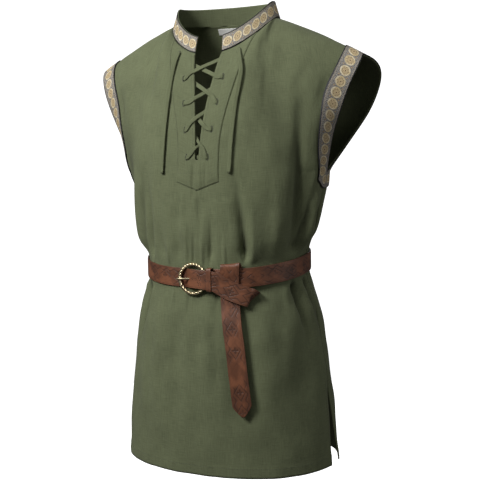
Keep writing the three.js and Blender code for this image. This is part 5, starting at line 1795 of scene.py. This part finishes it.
class TUNIC_OT_buckle(TunicOperator, bpy.types.Operator):
    """Make the rope-twist ring, its prong and the leather keeper loop"""

    bl_idname = "tunic.buckle"
    bl_label = "Buckle and keeper"

    def execute(self, context):
        self.rope_ring()
        self.prong()
        self.keeper()
        return {"FINISHED"}

    def rope_ring(self):
        """Three round strands that wind eight times round the ring's circle: each strand's middle is
        1.6 mm off the circle, at an angle that falls by eight turns on the way round. A strand is
        darkest where it faces the rope's middle."""
        centre, along, up, out = ring_basis()
        big = np.linspace(0, 2 * np.pi, 289)[:-1]
        small = np.linspace(0, 2 * np.pi, 11)[:-1]
        shade = np.broadcast_to(smooth_step(-np.cos(small), -0.75, 0.35), (len(big), len(small)))
        strands = []
        for k in range(ROPE_STRANDS):
            turn = -ROPE_TWISTS * big + 2 * np.pi * k / ROPE_STRANDS
            radial = along * np.cos(big)[:, None] + up * np.sin(big)[:, None]
            away = radial * np.cos(turn)[:, None] + out * np.sin(turn)[:, None]
            line = centre + radial * RING_RADIUS + away * STRAND_OFFSET
            step = unit(np.roll(line, -1, axis=0) - np.roll(line, 1, axis=0))
            first = unit(away - step * (away * step).sum(axis=1, keepdims=True))
            second = np.cross(step, first)
            rows = (
                line[:, None]
                + first[:, None] * np.cos(small)[None, :, None] * STRAND_RADIUS
                + second[:, None] * np.sin(small)[None, :, None] * STRAND_RADIUS
            )
            strands.append((rows, ring_faces(len(big), len(small))))
        points, faces = joined(strands)
        shades = np.tile(shade.ravel(), ROPE_STRANDS)
        piece = make_piece("rope_ring", points, faces, buckle_brass(), shades=shades)
        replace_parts(tidy_faces(piece), "buckle_ring")

    def prong(self):
        """A round bar on its curve, thinner over its last quarter, with a round dome as its tip."""
        tip_share, thins_from, dome_from, dome_long = 0.72, 0.75, 0.965, 0.036
        centre, along, up, out = ring_basis()
        rows = np.array([[row["along"], row["out"]] for row in PRONG_ROUTE])
        spots = centre + rows[:, :1] * along + rows[:, 1:] * out
        line = respaced(curve_through(spots, np.linspace(0, len(spots) - 1, 240)), 70)
        share = np.linspace(0, 1, len(line))
        radius = PRONG_RADIUS * mix(1, tip_share, smooth_step(share, thins_from, 1))
        dome = np.clip((share - dome_from) / dome_long, 0, 1)
        radius = radius * np.sqrt(np.clip(1 - dome**2, 0.02, 1))
        step = unit(np.gradient(line, axis=0))
        second = np.cross(step, up)
        small = np.linspace(0, 2 * np.pi, 17)[:-1]
        points = (
            line[:, None]
            + (up * np.cos(small)[:, None])[None] * radius[:, None, None]
            + second[:, None] * np.sin(small)[None, :, None] * radius[:, None, None]
        )
        faces = tube_faces(len(line), len(small))
        shades = np.full(points.shape[:2], 0.15)
        piece = make_piece("buckle_pin", points, faces, buckle_brass(), shades=shades)
        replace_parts(tidy_faces(piece), "buckle_prong")

    def keeper(self):
        """A narrow strap bent into a closed loop with rounded corners: a superellipse path, tall and
        shallow, with a rounded section."""
        middle, out, along, upright = waist_frame(np.array(float(KEEPER_TURN)), -float(KEEPER_DROP), 0.0)
        angle = np.linspace(0, 2 * np.pi, 121)[:-1]
        tall = (KEEPER_TALL + KEEPER_THICK) / 2
        near, far = KEEPER_INSIDE[0] - KEEPER_THICK / 2, KEEPER_INSIDE[1] + KEEPER_THICK / 2
        power = 2 / 9
        high = np.sign(np.sin(angle)) * np.abs(np.sin(angle)) ** power * tall
        deep = np.sign(np.cos(angle)) * np.abs(np.cos(angle)) ** power
        deep = deep * (far - near) / 2 + (far + near) / 2
        rise = np.cross(out, along)
        line = middle + rise * high[:, None] + out * deep[:, None]
        line = respaced(np.vstack([line, line[:1]]), 161)[:-1]
        profile = rounded_profile(KEEPER_LONG / 2, KEEPER_THICK / 2, 5, 20)
        across = np.broadcast_to(along, line.shape)
        points, uv, faces = sweep(line, across, profile, closed=True)
        piece = tidy_faces(make_piece("strap_keeper", points, faces, belt_leather(), uv=uv))
        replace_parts(piece, "belt_keeper")


# Stitching


def cloth_line(turn, level, lift):
    """A line on the cloth with the directions out of it."""
    return on_cloth(turn, level, np.broadcast_to(lift, np.broadcast(turn, level).shape))


class TUNIC_OT_stitching(TunicOperator, bpy.types.Operator):
    """Sew the hem, the side slits, the facing, the shoulders and the trims with visible stitches"""

    bl_idname = "tunic.stitching"
    bl_label = "Stitching"

    def execute(self, context):
        sizes = context.scene.tunic_sizes
        gauge = (sizes.stitch_spacing / MM, sizes.stitch_length / MM, sizes.thread_thickness / MM)
        thread = sewing_thread()
        stitched("hem_stitches", self.hem_lines(), thread, *gauge)
        stitched("facing_stitches", self.facing_lines(), thread, *gauge)
        stitched("shoulder_stitches", self.shoulder_lines(), thread, *gauge)
        stitched("trim_stitches", self.trim_lines(), thread, *gauge)
        self.buckle_stitches(context)
        return {"FINISHED"}

    def hem_lines(self):
        """Rows 18 mm above the hem, and lines 9 mm from the edges of each side slit, joined by a bar."""
        lines = []
        slit_top = level_at(HEM_HEIGHT + SIDE_SLIT) + 0.01
        for middle in (0.0, 180.0):
            turn = middle + np.linspace(-SLIT_STITCH_TURN, SLIT_STITCH_TURN, 400)
            lines.append(cloth_line(turn, level_at(HEM_HEIGHT + HEM_STITCH_UP), 0.15))
            level = np.linspace(level_at(HEM_HEIGHT + 4.0), slit_top, 120)
            for side in (-1, 1):
                edge = middle + side * SLIT_STITCH_TURN
                turn = np.full(len(level), edge)
                points, outs = cloth_line(turn, level, 0.15)
                lines.append((seam_edges(points, turn, level), outs))
                turn = np.linspace(edge, middle + side * 89.9, 12)
                lines.append(cloth_line(np.maximum(turn, BACK_EDGE) if middle else turn, slit_top, 0.2))
        return lines

    def facing_lines(self):
        """Lines 3.5 mm inside the facing's outline and 5 mm beside the slit."""
        lines = []
        level = np.linspace(SLIT_BOTTOM_LEVEL, FACING_TOP_LEVEL - 0.01, 160)
        low_turn = float(outline_turn(np.array(SLIT_BOTTOM_LEVEL)))
        inset = FACING_STITCH_IN / FOLD_MM_PER_DEGREE
        for side in (-1, 1):
            edge = outline_turn(level) - inset
            corner_turn, corner_level = chest_spot(
                np.array([0.0, side * (low_turn - inset) * chest_mm_per_degree(0)]),
                np.array([FACING_POINT_HEIGHT + 4.2, FACING_CORNER_HEIGHT + 4.2]),
            )
            foot = np.linspace(0, 1, 30)
            turns = np.concatenate([mix(corner_turn[0], corner_turn[1], foot), side * edge])
            levels = np.concatenate([mix(corner_level[0], corner_level[1], foot), level])
            lines.append(cloth_line(turns, levels, FACING_LIFT + 0.45))
            beside = slit_turn(level + 1e-4) + SLIT_STITCH_IN / FOLD_MM_PER_DEGREE
            lines.append(cloth_line(side * beside, level, FACING_LIFT + 0.2))
        return lines

    def shoulder_lines(self):
        """A line 7 mm in front of each shoulder seam."""
        across = np.linspace(NECK_TURN + 1, 90 - float(trim_turn(1, np.array(1.0))) - 0.5, 90)
        level = 1 - SHOULDER_STITCH_IN / SHOULDER_COLUMN
        return [cloth_line(side * across, level, 0.15) for side in (-1, 1)]

    def trim_lines(self):
        """Lines just inside both edges of the armhole trims and of the collar's trim."""
        lines = []
        for side in (-1, 1):
            points, _ = armhole_strip(side)
            step_along = np.gradient(points, axis=0)
            step_across = np.gradient(points, axis=1)
            outs = unit(np.cross(step_across, step_along))
            for column in (1, points.shape[1] - 2):
                lines.append((points[:, column] + outs[:, column] * 0.1, outs[:, column]))
        low, high = SEAM_GAP + COLLAR_TRIM_INSET, COLLAR_HEIGHT - COLLAR_TRIM_INSET
        points, normals = collar_rows(low, high, TRIM_LIFT + 0.1)
        for row in (1, COLLAR_ROWS - 2):
            lines.append((points[row], normals[row]))
        return lines

    def buckle_stitches(self, context):
        """Two waving rows of thick thread across the strap end before the keeper."""
        lines = []
        for at in THICK_STITCHES_AT:
            spot, along, wide, face = run_up_frame(at)
            offsets = np.linspace(-12, 12, 40)[:, None]
            line = spot + wide * offsets + along * (1.6 * np.sin(offsets * 0.52))
            lines.append((line + face * (BELT_THICK / 2 + 0.1), np.broadcast_to(face, line.shape)))
        tone = tuple(c * 0.4 for c in context.scene.tunic_colours.leather)
        waxed = finish_named("waxed_thread", thread_finish, tone)
        stitched("belt_stitches", lines, waxed, **THICK_STITCH)


# Stage

def direction(turn, rise):
    """From the object's middle, for an angle round it and one above level, in radians."""
    return np.array([np.sin(turn) * np.cos(rise), -np.cos(turn) * np.cos(rise), np.sin(rise)])


def placed(item, right, up, back, spot):
    """Turns a camera or lamp to its own right, up and back directions, and sets it in its place."""
    matrix = np.eye(4)
    matrix[:3] = np.stack([right, up, back, spot], axis=1)
    item.matrix_world = Matrix(matrix.tolist())
    bpy.context.scene.collection.objects.link(item)
    return item


class TUNIC_OT_stage(TunicOperator, bpy.types.Operator):
    """Set the pale seamless floor, the soft studio light and the camera"""

    bl_idname = "tunic.stage"
    bl_label = "Stage, light and camera"

    def execute(self, context):
        self.camera()
        self.floor()
        self.lights()
        context.scene.view_settings.view_transform = "Standard"
        return {"FINISHED"}

    def camera(self):
        turn, rise, roll = (np.radians(CAMERA[name]) for name in ("turn", "rise", "roll"))
        back = direction(turn, rise)
        right = np.array([np.cos(turn), np.sin(turn), 0])
        up = np.cross(back, right)
        rolled = np.cos(roll) * right + np.sin(roll) * up
        upright = -np.sin(roll) * right + np.cos(roll) * up
        target = np.array([0, 0, CAMERA["height"]]) + CAMERA["aside"] * right
        place = (target + CAMERA["distance"] * back) * MM
        lens = bpy.data.cameras.new("camera")
        lens.sensor_width = SENSOR_MM
        lens.lens = CAMERA["focal_px"] * SENSOR_MM / PHOTO_WIDTH
        view = placed(bpy.data.objects.new("camera", lens), rolled, upright, back, place)
        bpy.context.scene.camera = view

    def floor(self):
        """A round floor whose rim sweeps up into a wall on all sides: a flat disc, then a quarter
        circle, then an upright, turned about the vertical."""
        rim = np.linspace(0, np.pi / 2, 15)
        radius = np.concatenate([[5, 1500, 3200], 3200 + 1000 * np.sin(rim), [4200]])
        height = np.concatenate([[0, 0, 0], 1000 * (1 - np.cos(rim)), [4500]]) - 1250.0
        around = np.radians(np.arange(0, 360, 5))[:, None]
        spots = np.broadcast_arrays(radius * np.cos(around), radius * np.sin(around), height)
        points = np.swapaxes(np.stack(spots, axis=-1), 0, 1)
        finish = finish_named("seamless_paper", studio_finish, (0.985, 0.985, 0.985))
        floor = mesh_object("studio_floor", points, grid_faces(*points.shape[:2], wraps=True), finish)
        floor.visible_diffuse = False
        floor.visible_glossy = False
        floor.visible_shadow = False

    def lights(self):
        """A soft key from the wearer's right and above, a weak fill from the other side, a high light
        from the front, a low one from behind and an even dim sky."""
        for k, row in enumerate(LIGHTS):
            away = direction(np.radians(row["turn"]), np.radians(row["rise"]))
            data = bpy.data.lights.new(f"soft_light_{k + 1}", "AREA")
            data.size = row["size"]
            data.energy = row["power"]
            side = unit(np.cross(np.array([0, 0, 1.0]), away))
            spot = away * row["distance"] + np.array([0, 0, LIGHTS_AIM])
            placed(bpy.data.objects.new(data.name, data), side, np.cross(away, side), away, spot)
        sky = bpy.data.worlds.new("studio_sky")
        sky.use_nodes = True
        sky.node_tree.nodes["Background"].inputs["Color"].default_value = (1, 1, 1, 1)
        sky.node_tree.nodes["Background"].inputs["Strength"].default_value = SKY_STRENGTH
        bpy.context.scene.world = sky


class TUNIC_PT_panel(bpy.types.Panel):
    """Lists the tunic's pieces, sizes and colours"""

    bl_idname = "TUNIC_PT_panel"
    bl_label = "Tunic"
    bl_space_type = "VIEW_3D"
    bl_region_type = "UI"
    bl_category = "Tunic"

    def draw(self, context):
        for group in (context.scene.tunic_sizes, context.scene.tunic_colours):
            for name in group.__annotations__:
                self.layout.prop(group, name)
        for kind in OPERATORS:
            self.layout.operator(kind.bl_idname)


OPERATORS = (
    TUNIC_OT_stage,
    TUNIC_OT_lace_ends,
    TUNIC_OT_lacing,
    TUNIC_OT_front,
    TUNIC_OT_back,
    TUNIC_OT_collar,
    TUNIC_OT_facing,
    TUNIC_OT_armholes,
    TUNIC_OT_label,
    TUNIC_OT_belt,
    TUNIC_OT_knot,
    TUNIC_OT_buckle,
    TUNIC_OT_stitching,
)
CLASSES = (TunicSizes, TunicColours, *OPERATORS, TUNIC_PT_panel)


def register():
    for kind in CLASSES:
        bpy.utils.register_class(kind)
    bpy.types.Scene.tunic_sizes = PointerProperty(type=TunicSizes)
    bpy.types.Scene.tunic_colours = PointerProperty(type=TunicColours)


def unregister():
    del bpy.types.Scene.tunic_colours
    del bpy.types.Scene.tunic_sizes
    for kind in reversed(CLASSES):
        bpy.utils.unregister_class(kind)


def main():
    register()
    for kind in OPERATORS:
        group, name = kind.bl_idname.split(".")
        getattr(getattr(bpy.ops, group), name)()


if __name__ == "__main__":
    main()
